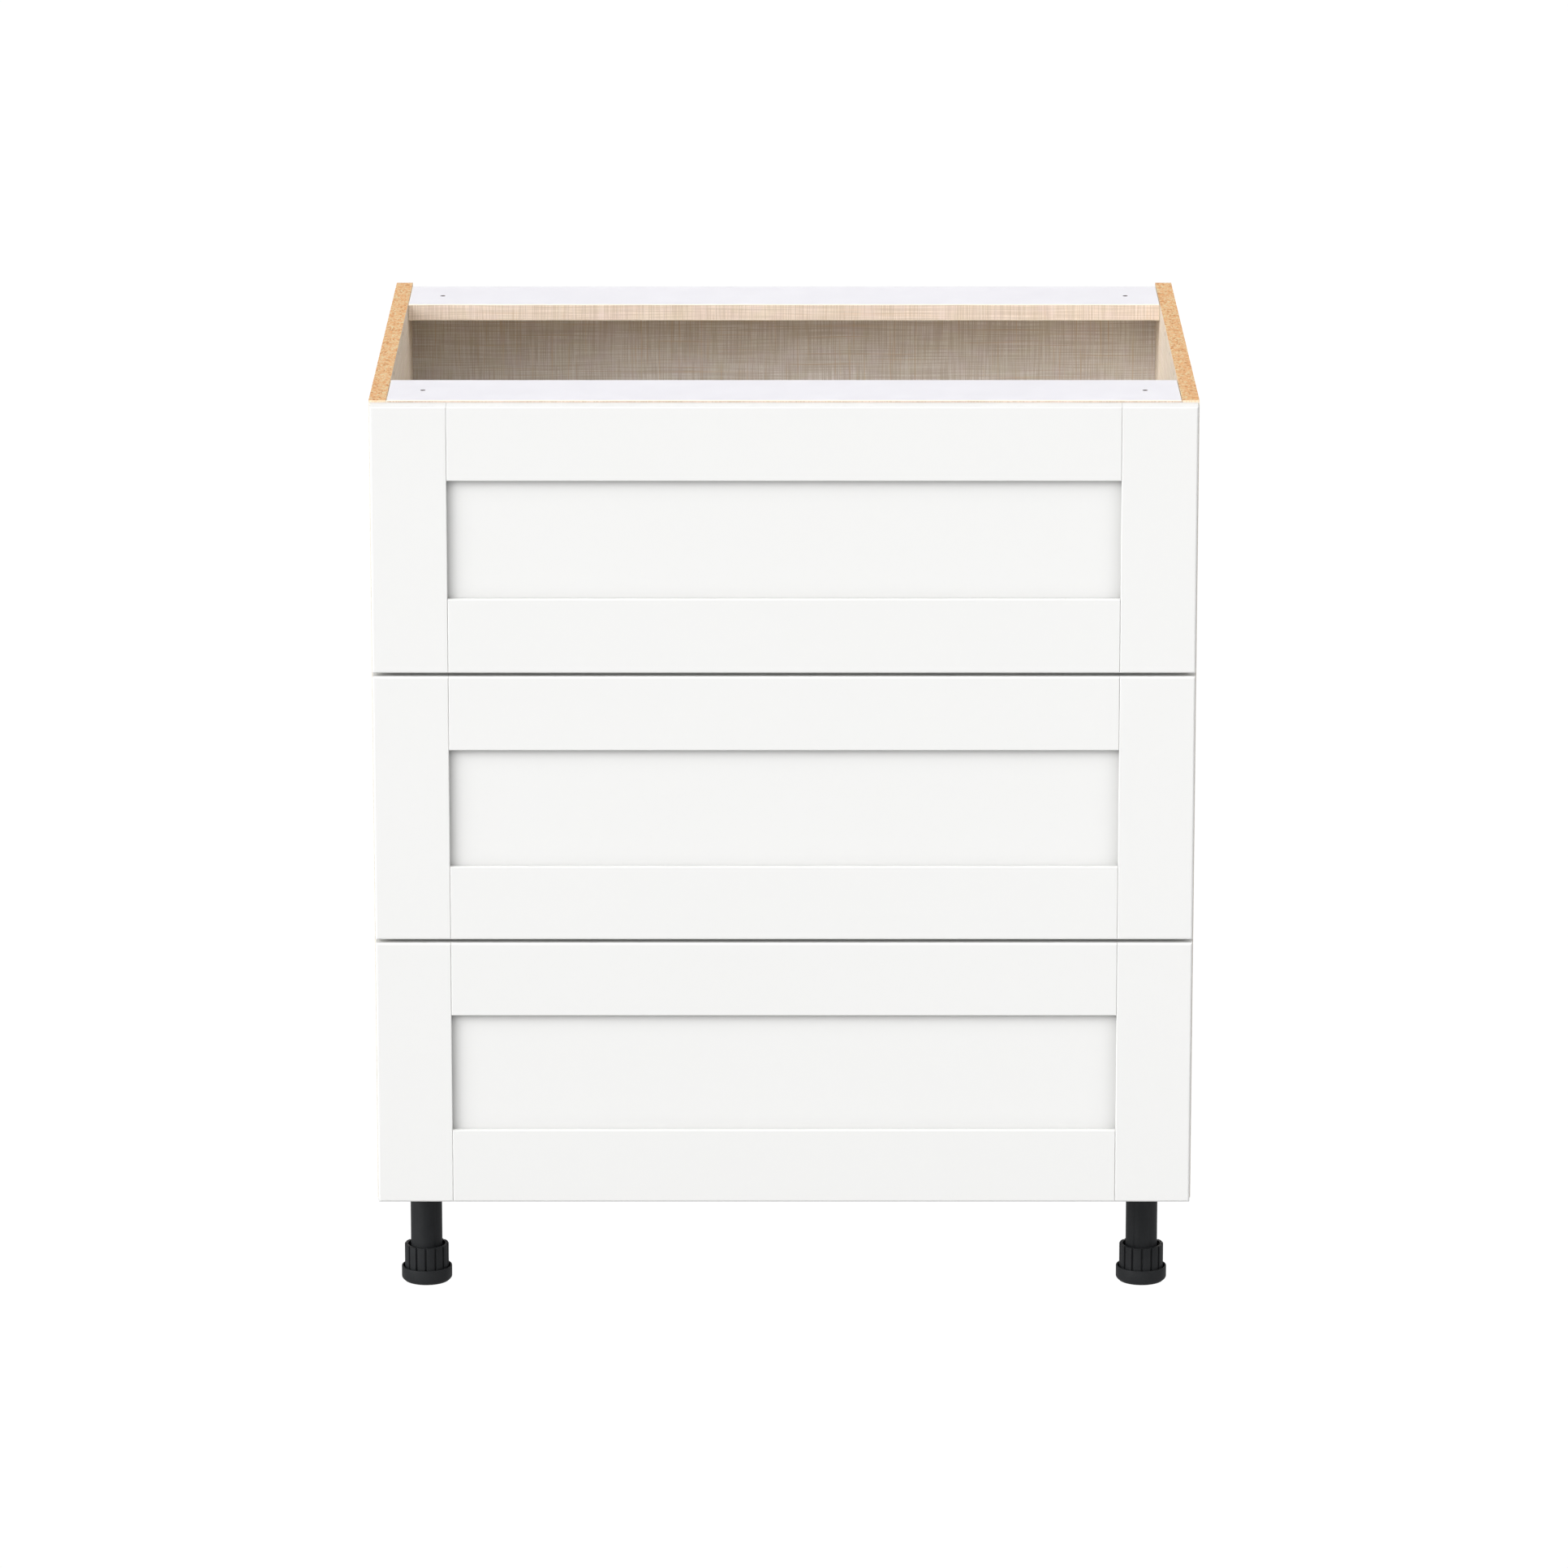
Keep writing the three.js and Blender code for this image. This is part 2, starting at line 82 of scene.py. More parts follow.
# ------------------------------------------------------------------ node helpers
class Tree:
    """Short calls for building a material's nodes."""

    def __init__(self, name):
        self.m = bpy.data.materials.new(name)
        self.m.use_nodes = True
        self.t = self.m.node_tree
        self.t.nodes.clear()
        self.out = self.t.nodes.new("ShaderNodeOutputMaterial")
        self.b = self.t.nodes.new("ShaderNodeBsdfPrincipled")
        self.t.links.new(self.b.outputs[0], self.out.inputs[0])
        self.coords = self.t.nodes.new("ShaderNodeTexCoord").outputs["Object"]

    def put(self, socket, value):
        if isinstance(value, bpy.types.NodeSocket):
            self.t.links.new(value, socket)
        elif hasattr(socket, "default_value"):
            if hasattr(value, "__len__") and len(value) == 3 and socket.type == "RGBA":
                value = (*value, 1.0)
            socket.default_value = value

    def math(self, op, a, b=0.0, c=0.0, clamp=False):
        n = self.t.nodes.new("ShaderNodeMath")
        n.operation = op
        n.use_clamp = clamp
        for s, v in zip(n.inputs, (a, b, c)):
            self.put(s, v)
        return n.outputs[0]

    def split(self, v):
        n = self.t.nodes.new("ShaderNodeSeparateXYZ")
        self.put(n.inputs[0], v)
        return n.outputs

    def join(self, x, y, z):
        n = self.t.nodes.new("ShaderNodeCombineXYZ")
        for s, v in zip(n.inputs, (x, y, z)):
            self.put(s, v)
        return n.outputs[0]

    def scaled(self, v, scale, shift=(0, 0, 0)):
        n = self.t.nodes.new("ShaderNodeVectorMath")
        n.operation = "MULTIPLY_ADD"
        self.put(n.inputs[0], v)
        n.inputs[1].default_value = scale
        n.inputs[2].default_value = shift
        return n.outputs[0]

    def noise(self, v, scale=1.0, detail=2.0, rough=0.5, distort=0.0, colour=False):
        n = self.t.nodes.new("ShaderNodeTexNoise")
        self.put(n.inputs["Vector"], v)
        n.inputs["Scale"].default_value = scale
        n.inputs["Detail"].default_value = detail
        n.inputs["Roughness"].default_value = rough
        n.inputs["Distortion"].default_value = distort
        return n.outputs["Color" if colour else "Fac"]

    def voronoi(self, v, scale=1.0, feature="F1", out="Distance", random=1.0):
        n = self.t.nodes.new("ShaderNodeTexVoronoi")
        n.feature = feature
        self.put(n.inputs["Vector"], v)
        n.inputs["Scale"].default_value = scale
        n.inputs["Randomness"].default_value = random
        return n.outputs[out]

    def range(self, v, a, b, c=0.0, d=1.0, smooth=False):
        n = self.t.nodes.new("ShaderNodeMapRange")
        if smooth:
            n.interpolation_type = "SMOOTHSTEP"
        self.put(n.inputs[0], v)
        for i, x in enumerate((a, b, c, d)):
            n.inputs[i + 1].default_value = x
        return n.outputs[0]

    def ramp(self, v, stops, kind="LINEAR"):
        n = self.t.nodes.new("ShaderNodeValToRGB")
        self.put(n.inputs[0], v)
        r = n.color_ramp
        r.interpolation = kind
        while len(r.elements) < len(stops):
            r.elements.new(0.5)
        for e, (p, c) in zip(r.elements, stops):
            e.position = p
            e.color = (*c, 1.0)
        return n.outputs[0]

    def mix(self, f, a, b, kind="MIX"):
        n = self.t.nodes.new("ShaderNodeMix")
        n.data_type = "RGBA"
        n.blend_type = kind
        self.put(n.inputs[0], f)
        self.put(n.inputs[6], a)
        self.put(n.inputs[7], b)
        return n.outputs[2]

    def bump(self, height, distance, strength=1.0):
        n = self.t.nodes.new("ShaderNodeBump")
        n.inputs["Strength"].default_value = strength
        n.inputs["Distance"].default_value = distance
        self.put(n.inputs["Height"], height)
        self.put(self.b.inputs["Normal"], n.outputs[0])

    def set(self, **values):
        for k, v in values.items():
            self.put(self.b.inputs[k.replace("_", " ")], v)
        return self.m


def rgb(r, g, b):
    """sRGB 0..255 as linear."""
    return tuple(((c / 255) / 12.92 if c <= 10.3 else (((c / 255) + 0.055) / 1.055) ** 2.4) for c in (r, g, b))


# ------------------------------------------------------------------ materials
def lacquer_white(name="lacquer_white", hollow=None):
    """Sprayed white. hollow is (half width, lowest, highest, step) of the sunk panels: painted shade darkens the coat
    along their edges, where the recess is shaded.
    """
    t = Tree(name)
    c = t.coords
    cloud = t.noise(c, 7.0, 3.0, 0.55)
    fine = t.noise(c, 90.0, 2.0, 0.5)
    base = t.mix(t.range(cloud, 0.3, 0.7), (0.8040, 0.8035, 0.7935), (0.8080, 0.8075, 0.7980))
    base = t.mix(t.range(fine, 0.35, 0.7, 0.0, 0.25), base, (0.7975, 0.7970, 0.7870))
    if hollow:
        half, low, high, step = hollow
        x, _, z = t.split(c)
        across = t.math("SUBTRACT", half, t.math("ABSOLUTE", x))
        z = t.math("MODULO", t.math("SUBTRACT", z, low), step)
        up = t.math("MINIMUM", z, t.math("SUBTRACT", high - low, z))
        # painted shade: the white gets darker towards each edge of the sunk panels, standing in for the shade in the
        # recess corners
        painted_shade = t.math("ADD", t.math("EXPONENT", t.math("MULTIPLY", across, -200.0)), t.math("EXPONENT", t.math("MULTIPLY", up, -200.0)))
        base = t.mix(t.math("MULTIPLY", painted_shade, 0.22, clamp=True), base, (0.0, 0.0, 0.0))
    peel = t.noise(c, 620.0, 2.0, 0.45)
    wave = t.noise(c, 95.0, 1.0, 0.4)
    t.bump(t.math("ADD", peel, t.math("MULTIPLY", wave, 0.8)), 0.00003, 0.55)
    rough = t.range(t.noise(c, 24.0, 3.0, 0.6), 0.3, 0.7, 0.29, 0.36)
    return t.set(Base_Color=base, Roughness=rough, Specular_IOR_Level=0.5)


def melamine_white(name="melamine_white", low=(0.880, 0.866, 0.915), high=(0.904, 0.890, 0.940)):
    t = Tree(name)
    c = t.coords
    base = t.mix(t.range(t.noise(c, 12.0, 4.0, 0.6), 0.3, 0.7), low, high)
    pearl = t.noise(c, 1100.0, 2.0, 0.5)
    grain = t.voronoi(c, 520.0)
    t.bump(t.math("ADD", pearl, t.math("MULTIPLY", grain, 0.6)), 0.00004, 0.5)
    rough = t.range(t.noise(c, 60.0, 2.0, 0.5), 0.3, 0.7, 0.44, 0.56)
    return t.set(Base_Color=base, Roughness=rough, Specular_IOR_Level=0.4)


def linen(name, u, v, base=(0.795, 0.667, 0.563), crisp=0.92, rim=None):
    """Linen print on melamine: fine threads that cross at right angles. u and v are the coordinate's axes in the face."""
    t = Tree(name)
    xyz = t.split(t.coords)
    U, V = xyz[u], xyz[v]
    # bend the threads a little, so that none is ruled straight
    drift = t.noise(t.join(t.math("MULTIPLY", U, 14.0), t.math("MULTIPLY", V, 14.0), 0.0), 1.0, 2.0, 0.5)
    drift = t.math("MULTIPLY", t.math("SUBTRACT", drift, 0.5), 0.0016)
    U2, V2 = t.math("ADD", U, drift), t.math("SUBTRACT", V, drift)

    def threads(across, along, pitch, length, seed, low, high, detail=1.0):
        vec = t.join(t.math("MULTIPLY", across, 1.0 / pitch), t.math("MULTIPLY", along, 1.0 / length), seed)
        return t.range(t.noise(vec, 1.0, detail, 0.6), low, high, smooth=True)

    fine_v = threads(U2, V2, 0.00100, 0.050, 1.0, 0.42, 0.58)
    fine_h = threads(V2, U2, 0.00105, 0.085, 7.0, 0.42, 0.58)
    bold_v = threads(U2, V2, 0.0016, 0.110, 13.0, 0.60, 0.68, 2.0)
    bold_h = threads(V2, U2, 0.0018, 0.170, 19.0, 0.60, 0.68, 2.0)
    light = threads(U2, V2, 0.00115, 0.070, 29.0, 0.56, 0.67)
    across = threads(V2, U2, 0.00120, 0.100, 37.0, 0.56, 0.67)
    k = tuple(min(c * 1.13, 0.95) for c in base)
    dark = (base[0] * 0.72, base[1] * 0.675, base[2] * 0.60)
    pale = (min(base[0] * 1.20, 0.96), min(base[1] * 1.24, 0.93), min(base[2] * 1.34, 0.89))
    warm = (base[0] * 0.82, base[1] * 0.67, base[2] * 0.46)
    col = t.mix(t.math("MULTIPLY", fine_v, 0.55 * crisp), k, dark)
    col = t.mix(t.math("MULTIPLY", fine_h, 0.50 * crisp), col, dark)
    col = t.mix(t.math("MULTIPLY", light, 0.40 * crisp), col, pale)
    col = t.mix(t.math("MULTIPLY", across, 0.34 * crisp), col, pale)
    col = t.mix(t.math("MULTIPLY", bold_v, 0.42 * crisp), col, warm)
    col = t.mix(t.math("MULTIPLY", bold_h, 0.38 * crisp), col, warm)
    # the yarns change their shade slightly from place to place: a little green, pink and grey
    patch = t.noise(t.join(t.math("MULTIPLY", U, 34.0), t.math("MULTIPLY", V, 46.0), 3.0), 1.0, 2.0, 0.6)
    other = t.noise(t.join(t.math("MULTIPLY", U, 42.0), t.math("MULTIPLY", V, 38.0), 11.0), 1.0, 2.0, 0.6)
    col = t.mix(t.range(patch, 0.48, 0.64, 0.0, 0.17), col, (base[0] * 0.95, base[1] * 1.02, base[2] * 0.84))
    col = t.mix(t.range(other, 0.48, 0.64, 0.0, 0.17), col, (min(base[0] * 1.03, 0.95), base[1] * 0.95, base[2] * 1.12))
    # painted light: a paler cream strip just under the top edge at rim, partly the laminate's cream top layer and
    # partly painted light that lifts the shade the top drawer front casts there
    if rim:
        col = t.mix(t.range(xyz[2], rim - 0.0022, rim - 0.0014), col, t.mix(fine_v, rgb(252, 233, 205), rgb(246, 214, 178)))
    weave = t.math("ADD", fine_v, fine_h)
    t.bump(weave, 0.00005, 0.5)
    rough = t.range(weave, 0.0, 2.0, 0.50, 0.64)
    return t.set(Base_Color=col, Roughness=rough, Specular_IOR_Level=0.35)


CHIP_TONE = (1.23, 1.19, 1.22)


def chip_rgb(r, g, b):
    return tuple(min(c * k, 0.93) for c, k in zip(rgb(r, g, b), CHIP_TONE))


def chipboard():
    """Raw edge of particle board: pressed flakes of straw to brown, a few dark specks and small voids."""
    t = Tree("chipboard_raw")
    c = t.scaled(t.coords, (1.0, 0.40, 1.0))
    warp = t.noise(c, 420.0, 2.0, 0.6, colour=True)
    n = t.t.nodes.new("ShaderNodeVectorMath")
    n.operation = "MULTIPLY_ADD"
    t.put(n.inputs[0], warp)
    n.inputs[1].default_value = (0.0015,) * 3
    t.put(n.inputs[2], c)
    w = n.outputs[0]
    cell = t.voronoi(w, 570.0, out="Color")
    tone = t.split(cell)[0]
    hue = t.split(cell)[1]
    flake = t.ramp(tone, [(0.0, chip_rgb(196, 136, 84)), (0.22, chip_rgb(222, 172, 120)), (0.55, chip_rgb(234, 194, 146)), (0.82, chip_rgb(240, 209, 165)), (1.0, chip_rgb(228, 160, 98))])
    flake = t.mix(t.range(hue, 0.55, 0.95, 0.0, 0.45), flake, chip_rgb(236, 176, 118))
    fine = t.noise(w, 1100.0, 3.0, 0.65)
    col = t.mix(t.range(fine, 0.42, 0.68, 0.0, 0.38), flake, chip_rgb(188, 132, 82))
    grit = t.noise(c, 1500.0, 2.0, 0.6)
    col = t.mix(t.range(grit, 0.60, 0.72, 0.0, 0.38), col, chip_rgb(243, 214, 172))
    speck = t.noise(t.scaled(t.coords, (1, 1, 1), (0.31, 0.17, 0.4)), 420.0, 2.0, 0.55)
    col = t.mix(t.range(speck, 0.68, 0.76, 0.0, 0.65), col, chip_rgb(128, 88, 54))
    edge = t.voronoi(w, 570.0, feature="DISTANCE_TO_EDGE")
    height = t.math("ADD", t.math("MULTIPLY", t.range(edge, 0.0, 0.12), 0.5), t.math("ADD", tone, fine))
    t.bump(height, 0.00022, 0.55)
    return t.set(Base_Color=col, Roughness=t.range(fine, 0.3, 0.7, 0.78, 0.92), Specular_IOR_Level=0.2)


def hardboard():
    """Plain back of the thin rear board: pressed fibre, warm brown."""
    t = Tree("fibreboard_back")
    c = t.coords
    fibres = t.noise(t.scaled(c, (160.0, 160.0, 420.0)), 1.0, 4.0, 0.62, 0.6)
    felt = t.noise(c, 700.0, 3.0, 0.6)
    cloud = t.noise(c, 9.0, 3.0, 0.55)
    col = t.ramp(fibres, [(0.25, rgb(146, 112, 80)), (0.5, rgb(176, 140, 104)), (0.75, rgb(198, 164, 126))])
    col = t.mix(t.range(felt, 0.5, 0.75, 0.0, 0.5), col, rgb(124, 92, 64))
    col = t.mix(t.range(cloud, 0.3, 0.7, 0.0, 0.18), col, rgb(206, 176, 140))
    t.bump(t.math("ADD", fibres, felt), 0.00010, 0.5)
    return t.set(Base_Color=col, Roughness=t.range(felt, 0.3, 0.7, 0.66, 0.82), Specular_IOR_Level=0.25)


def edge_band():
    """Thin strip where two faces of a laminated board meet: partly the laminate's own cream colour, partly a painted
    highlight on the eased edge.
    """
    t = Tree("edge_cream_highlight")
    c = t.coords
    base = t.mix(t.noise(c, 240.0, 2.0, 0.6), rgb(250, 238, 218), rgb(255, 247, 233))
    t.bump(t.noise(c, 1300.0, 2.0, 0.5), 0.00003, 0.4)
    return t.set(Base_Color=base, Roughness=t.range(t.noise(c, 300.0), 0.3, 0.7, 0.45, 0.6), Specular_IOR_Level=0.35)


def black_plastic():
    t = Tree("leg_black")
    c = t.coords
    spark = t.noise(c, 2600.0, 2.0, 0.6)
    cloud = t.noise(c, 60.0, 3.0, 0.5)
    base = t.mix(t.range(cloud, 0.3, 0.7), (0.0154, 0.0166, 0.0180), (0.0209, 0.0222, 0.0238))
    base = t.mix(t.range(spark, 0.55, 0.8, 0.0, 0.4), base, (0.026, 0.027, 0.029))
    t.bump(t.math("ADD", spark, t.math("MULTIPLY", t.noise(c, 900.0), 0.6)), 0.00005, 0.5)
    return t.set(Base_Color=base, Roughness=t.range(cloud, 0.3, 0.7, 0.46, 0.58), Specular_IOR_Level=0.20)


def powder_coat():
    t = Tree("powder_coat_grey")
    c = t.coords
    peel = t.noise(c, 480.0, 2.0, 0.5)
    spark = t.noise(c, 1700.0, 1.0, 0.5)
    base = t.mix(t.range(t.noise(c, 14.0, 3.0, 0.5), 0.3, 0.7), (0.470, 0.480, 0.480), (0.505, 0.513, 0.513))
    base = t.mix(t.range(spark, 0.6, 0.8, 0.0, 0.35), base, (0.42, 0.43, 0.43))
    t.bump(t.math("ADD", peel, t.math("MULTIPLY", spark, 0.35)), 0.00006, 0.5)
    return t.set(Base_Color=base, Roughness=t.range(peel, 0.3, 0.7, 0.36, 0.48), Specular_IOR_Level=0.45)


def zinc(name="zinc_plate", tone=1.0, long_axis=1):
    t = Tree(name)
    stretch = [420.0, 420.0, 420.0]
    stretch[long_axis] = 14.0
    roll = t.noise(t.scaled(t.coords, stretch), 1.0, 4.0, 0.6)
    bloom = t.voronoi(t.coords, 120.0, out="Color")
    patch = t.split(bloom)[0]
    base = t.mix(roll, (0.50 * tone, 0.51 * tone, 0.52 * tone), (0.68 * tone, 0.69 * tone, 0.70 * tone))
    base = t.mix(t.math("MULTIPLY", patch, 0.18), base, (0.74 * tone, 0.74 * tone, 0.72 * tone))
    t.bump(roll, 0.00004, 0.35)
    rough = t.math("ADD", t.range(roll, 0.25, 0.75, 0.29, 0.42), t.math("MULTIPLY", patch, 0.05))
    return t.set(Base_Color=base, Roughness=rough, Metallic=1.0)


def grey_plastic(name="damper_grey", low=(0.20, 0.205, 0.21), high=(0.235, 0.24, 0.245), rough=(0.42, 0.54)):
    t = Tree(name)
    c = t.coords
    base = t.mix(t.range(t.noise(c, 80.0, 3.0, 0.5), 0.3, 0.7), low, high)
    t.bump(t.noise(c, 1900.0, 2.0, 0.6), 0.00004, 0.5)
    return t.set(Base_Color=base, Roughness=t.range(t.noise(c, 140.0), 0.3, 0.7, *rough), Specular_IOR_Level=0.45)


M = {
    "front": lacquer_white(),
    # the sunk panels' white, with painted shade along the recess edges
    "panel": lacquer_white("lacquer_panel_painted_shade", ((HALF_FRONT - FRAME_WIDE) * K, (LEG_HIGH + REVEAL + FRAME_WIDE) * K,
                                                   (LEG_HIGH + REVEAL + FRONT_HIGH - FRAME_WIDE) * K, (FRONT_HIGH + FRONT_GAP) * K)),
    "white": melamine_white(),
    # painted shade: a darker copy of the white melamine for the outer faces of the sides, standing in for less light on
    # them
    "white_side_shaded": melamine_white("melamine_side_shaded", (0.800, 0.792, 0.818), (0.824, 0.816, 0.842)),
    "linen_xz": linen("linen_xz", 0, 2),
    "linen_yz": linen("linen_yz", 1, 2, (0.835, 0.745, 0.642)),
    # the side panels' front edge band, with a strip of painted light at its top
    "band": linen("linen_band", 0, 2, (0.815, 0.785, 0.722), 0.35, rim=HEIGHT * K),
    "linen_xy": linen("linen_xy", 0, 1, (0.770, 0.680, 0.575)),
    "linen_back": linen("linen_back", 0, 2, (0.862, 0.802, 0.758), 1.15),
    "chip": chipboard(),
    "hdf": hardboard(),
    "cream": edge_band(),
    "black": black_plastic(),
    "steel": powder_coat(),
    "zinc": zinc(),
    "bolt": zinc("screw_zinc", 1.08, 2),
    "grey": grey_plastic(),
    # painted shade: near-black brown on the walls of the small holes, standing in for the shade inside them
    "hole_shade": grey_plastic("hole_wall_painted_shade", (0.050, 0.022, 0.014), (0.110, 0.055, 0.032), (0.7, 0.9)),
    "clear": grey_plastic("bumper_clear", (0.60, 0.62, 0.63), (0.70, 0.72, 0.73), (0.29, 0.36)),
}


# ------------------------------------------------------------------ mesh helpers
def link(name, me):
    ob = bpy.data.objects.new(name, me)
    COLLECTION.objects.link(ob)
    return ob


def from_bmesh(name, bm, mats, sharp=32.0):
    bmesh.ops.recalc_face_normals(bm, faces=bm.faces[:])
    me = bpy.data.meshes.new(name)
    bm.to_mesh(me)
    bm.free()
    for m in mats:
        me.materials.append(M[m])
    for p in me.polygons:
        p.use_smooth = True
    me.set_sharp_from_angle(angle=math.radians(sharp))
    return link(name, me)


def bevel(ob, width, segments=3, weights=False, angle=32.0, material=-1):
    m = ob.modifiers.new("ease", "BEVEL")
    m.width = width * K
    m.segments = segments
    m.limit_method = "WEIGHT" if weights else "ANGLE"
    m.angle_limit = math.radians(angle)
    m.harden_normals = True
    m.material = material
    m.use_clamp_overlap = True
    m.miter_outer = "MITER_SHARP"
    return ob


def applied(ob):
    """The object with its modifiers made part of its mesh."""
    dg = bpy.context.evaluated_depsgraph_get()
    me = bpy.data.meshes.new_from_object(ob.evaluated_get(dg), preserve_all_data_layers=True, depsgraph=dg)
    old = ob.data
    ob.modifiers.clear()
    ob.data = me
    me.name = ob.name
    bpy.data.meshes.remove(old)
    return ob


def carve(ob, others, operation="DIFFERENCE", sharp=32.0):
    """Cuts or joins other objects, which are then removed."""
    for o in others:
        m = ob.modifiers.new("cut", "BOOLEAN")
        m.operation = operation
        m.solver = "EXACT"
        m.object = o
        m.material_mode = "TRANSFER"
    bpy.context.view_layer.update()
    applied(ob)
    for o in others:
        me = o.data
        bpy.data.objects.remove(o)
        bpy.data.meshes.remove(me)
    for p in ob.data.polygons:
        p.use_smooth = True
    ob.data.set_sharp_from_angle(angle=math.radians(sharp))
    return ob


def evened(ob):
    """Keeps the shade of the large faces flat when a piece with eased edges was cut."""
    m = ob.modifiers.new("even", "WEIGHTED_NORMAL")
    m.mode = "FACE_AREA"
    m.weight = 100
    m.keep_sharp = True
    return ob


def tidy(ob):
    """Merges points that lie on each other after many cuts."""
    bm = bmesh.new()
    bm.from_mesh(ob.data)
    bmesh.ops.remove_doubles(bm, verts=bm.verts, dist=0.005 * K)
    bmesh.ops.dissolve_degenerate(bm, edges=bm.edges, dist=0.002 * K)
    bm.to_mesh(ob.data)
    bm.free()
    return ob


SIDES = ("-x", "+x", "-y", "+y", "-z", "+z")


def brick(name, x0, x1, y0, y1, z0, z1, mats, faces=None):
    """A rectangular board. faces maps a side to an index in mats."""
    bm = bmesh.new()
    bmesh.ops.create_cube(bm, size=1.0)
    x0, x1 = min(x0, x1), max(x0, x1)
    for v in bm.verts:
        v.co = Vector(((x0 if v.co.x < 0 else x1) * K, (y0 if v.co.y < 0 else y1) * K, (z0 if v.co.z < 0 else z1) * K))
    for f in bm.faces:
        f.normal_update()
        n = f.normal
        i = max(range(3), key=lambda k: abs(n[k]))
        side = ("-" if n[i] < 0 else "+") + "xyz"[i]
        f.material_index = (faces or {}).get(side, 0)
    return from_bmesh(name, bm, mats)


def prism(name, points, to3d, s0, s1, mats, side_mats=None, cap_mats=(0, 0), long_w=None, cap_w=None, sharp=32.0):
    """A closed outline carried from s0 to s1. long_w are bevel weights of the long edges, cap_w of the outline's edges at both ends."""
    bm = bmesh.new()
    layer = bm.edges.layers.float.new("bevel_weight_edge") if (long_w or cap_w) else None
    n = len(points)
    a = [bm.verts.new(Vector(to3d(p, q, s0)) * K) for p, q in points]
    b = [bm.verts.new(Vector(to3d(p, q, s1)) * K) for p, q in points]
    bm.verts.ensure_lookup_table()
    for i in range(n):
        j = (i + 1) % n
        f = bm.faces.new((a[i], a[j], b[j], b[i]))
        f.material_index = side_mats[i] if side_mats else 0
    f = bm.faces.new(a)
    f.material_index = cap_mats[0]
    f = bm.faces.new(b)
    f.material_index = cap_mats[1]
    if layer:
        for i in range(n):
            j = (i + 1) % n
            if long_w:
                bm.edges.get((a[i], b[i]))[layer] = long_w[i]
            if cap_w:
                bm.edges.get((a[i], a[j]))[layer] = cap_w[i]
                bm.edges.get((b[i], b[j]))[layer] = cap_w[i]
    return from_bmesh(name, bm, mats, sharp)


def cylinder(name, r, length, centre, axis="z", seg=32, mats=("cream",)):
    bm = bmesh.new()
    bmesh.ops.create_cone(bm, cap_ends=True, segments=seg, radius1=r * K, radius2=r * K, depth=length * K)
    turn = {"z": Matrix.Identity(4), "x": Matrix.Rotation(math.pi / 2, 4, "Y"), "y": Matrix.Rotation(math.pi / 2, 4, "X")}[axis]
    bm.transform(Matrix.Translation(Vector(centre) * K) @ turn)
    return from_bmesh(name, bm, mats)


def lathe(name, profile, centre=(0, 0, 0), seg=64, mats=("black",), sharp=32.0, axis="z"):
    """A body of revolution from (radius, z) points, in millimetres, which start and end on the axis or close on themselves."""
    bm = bmesh.new()
    rings = []
    for r, z in profile:
        if r < 1e-6:
            rings.append([bm.verts.new(Vector((0, 0, z)) * K)])
        else:
            rings.append([bm.verts.new(Vector((r * math.cos(2 * math.pi * i / seg), r * math.sin(2 * math.pi * i / seg), z)) * K) for i in range(seg)])
    closed = len(rings[0]) > 1
    pairs = list(zip(rings, rings[1:])) + ([(rings[-1], rings[0])] if closed else [])
    for p, q in pairs:
        for i in range(seg):
            j = (i + 1) % seg
            if len(p) == 1 and len(q) == 1:
                continue
            if len(p) == 1:
                bm.faces.new((p[0], q[i], q[j]))
            elif len(q) == 1:
                bm.faces.new((p[i], q[0], p[j]))
            else:
                bm.faces.new((p[i], q[i], q[j], p[j]))
    turn = {"z": Matrix.Identity(4), "x": Matrix.Rotation(math.pi / 2, 4, "Y"), "-x": Matrix.Rotation(-math.pi / 2, 4, "Y"),
            "y": Matrix.Rotation(-math.pi / 2, 4, "X"), "-y": Matrix.Rotation(math.pi / 2, 4, "X"), "-z": Matrix.Rotation(math.pi, 4, "X")}[axis]
    bm.transform(Matrix.Translation(Vector(centre) * K) @ turn)
    return from_bmesh(name, bm, mats, sharp)


def rounded(points, radius, steps=5):
    """An open path with its corners turned to arcs of the given radius."""
    out = [Vector(points[0])]
    for a, b, c in zip(points, points[1:], points[2:]):
        a, b, c = Vector(a), Vector(b), Vector(c)
        u, w = (a - b).normalized(), (c - b).normalized()
        half = math.acos(max(-1, min(1, u.dot(w)))) / 2
        cut = min(radius / math.tan(half), (a - b).length * 0.49, (c - b).length * 0.49)
        r = cut * math.tan(half)
        centre = b + (u + w).normalized() * (r / math.sin(half))
        p, q = b + u * cut, b + w * cut
        t0 = math.atan2(*(p - centre).yx)
        t1 = math.atan2(*(q - centre).yx)
        d = (t1 - t0 + math.pi) % (2 * math.pi) - math.pi
        for i in range(steps + 1):
            t = t0 + d * i / steps
            out.append(centre + Vector((math.cos(t), math.sin(t))) * r)
    out.append(Vector(points[-1]))
    return out


def sheet_outline(path, thick):
    """The closed outline of a folded sheet whose middle line is path."""
    left, right = [], []
    for i, p in enumerate(path):
        if i == 0:
            d = (path[1] - p).normalized()
        elif i == len(path) - 1:
            d = (p - path[-2]).normalized()
        else:
            d = ((path[i + 1] - p).normalized() + (p - path[i - 1]).normalized()).normalized()
        n = Vector((-d.y, d.x)) * (thick / 2)
        left.append(p + n)
        right.append(p - n)
    return [tuple(p) for p in left + right[::-1]]


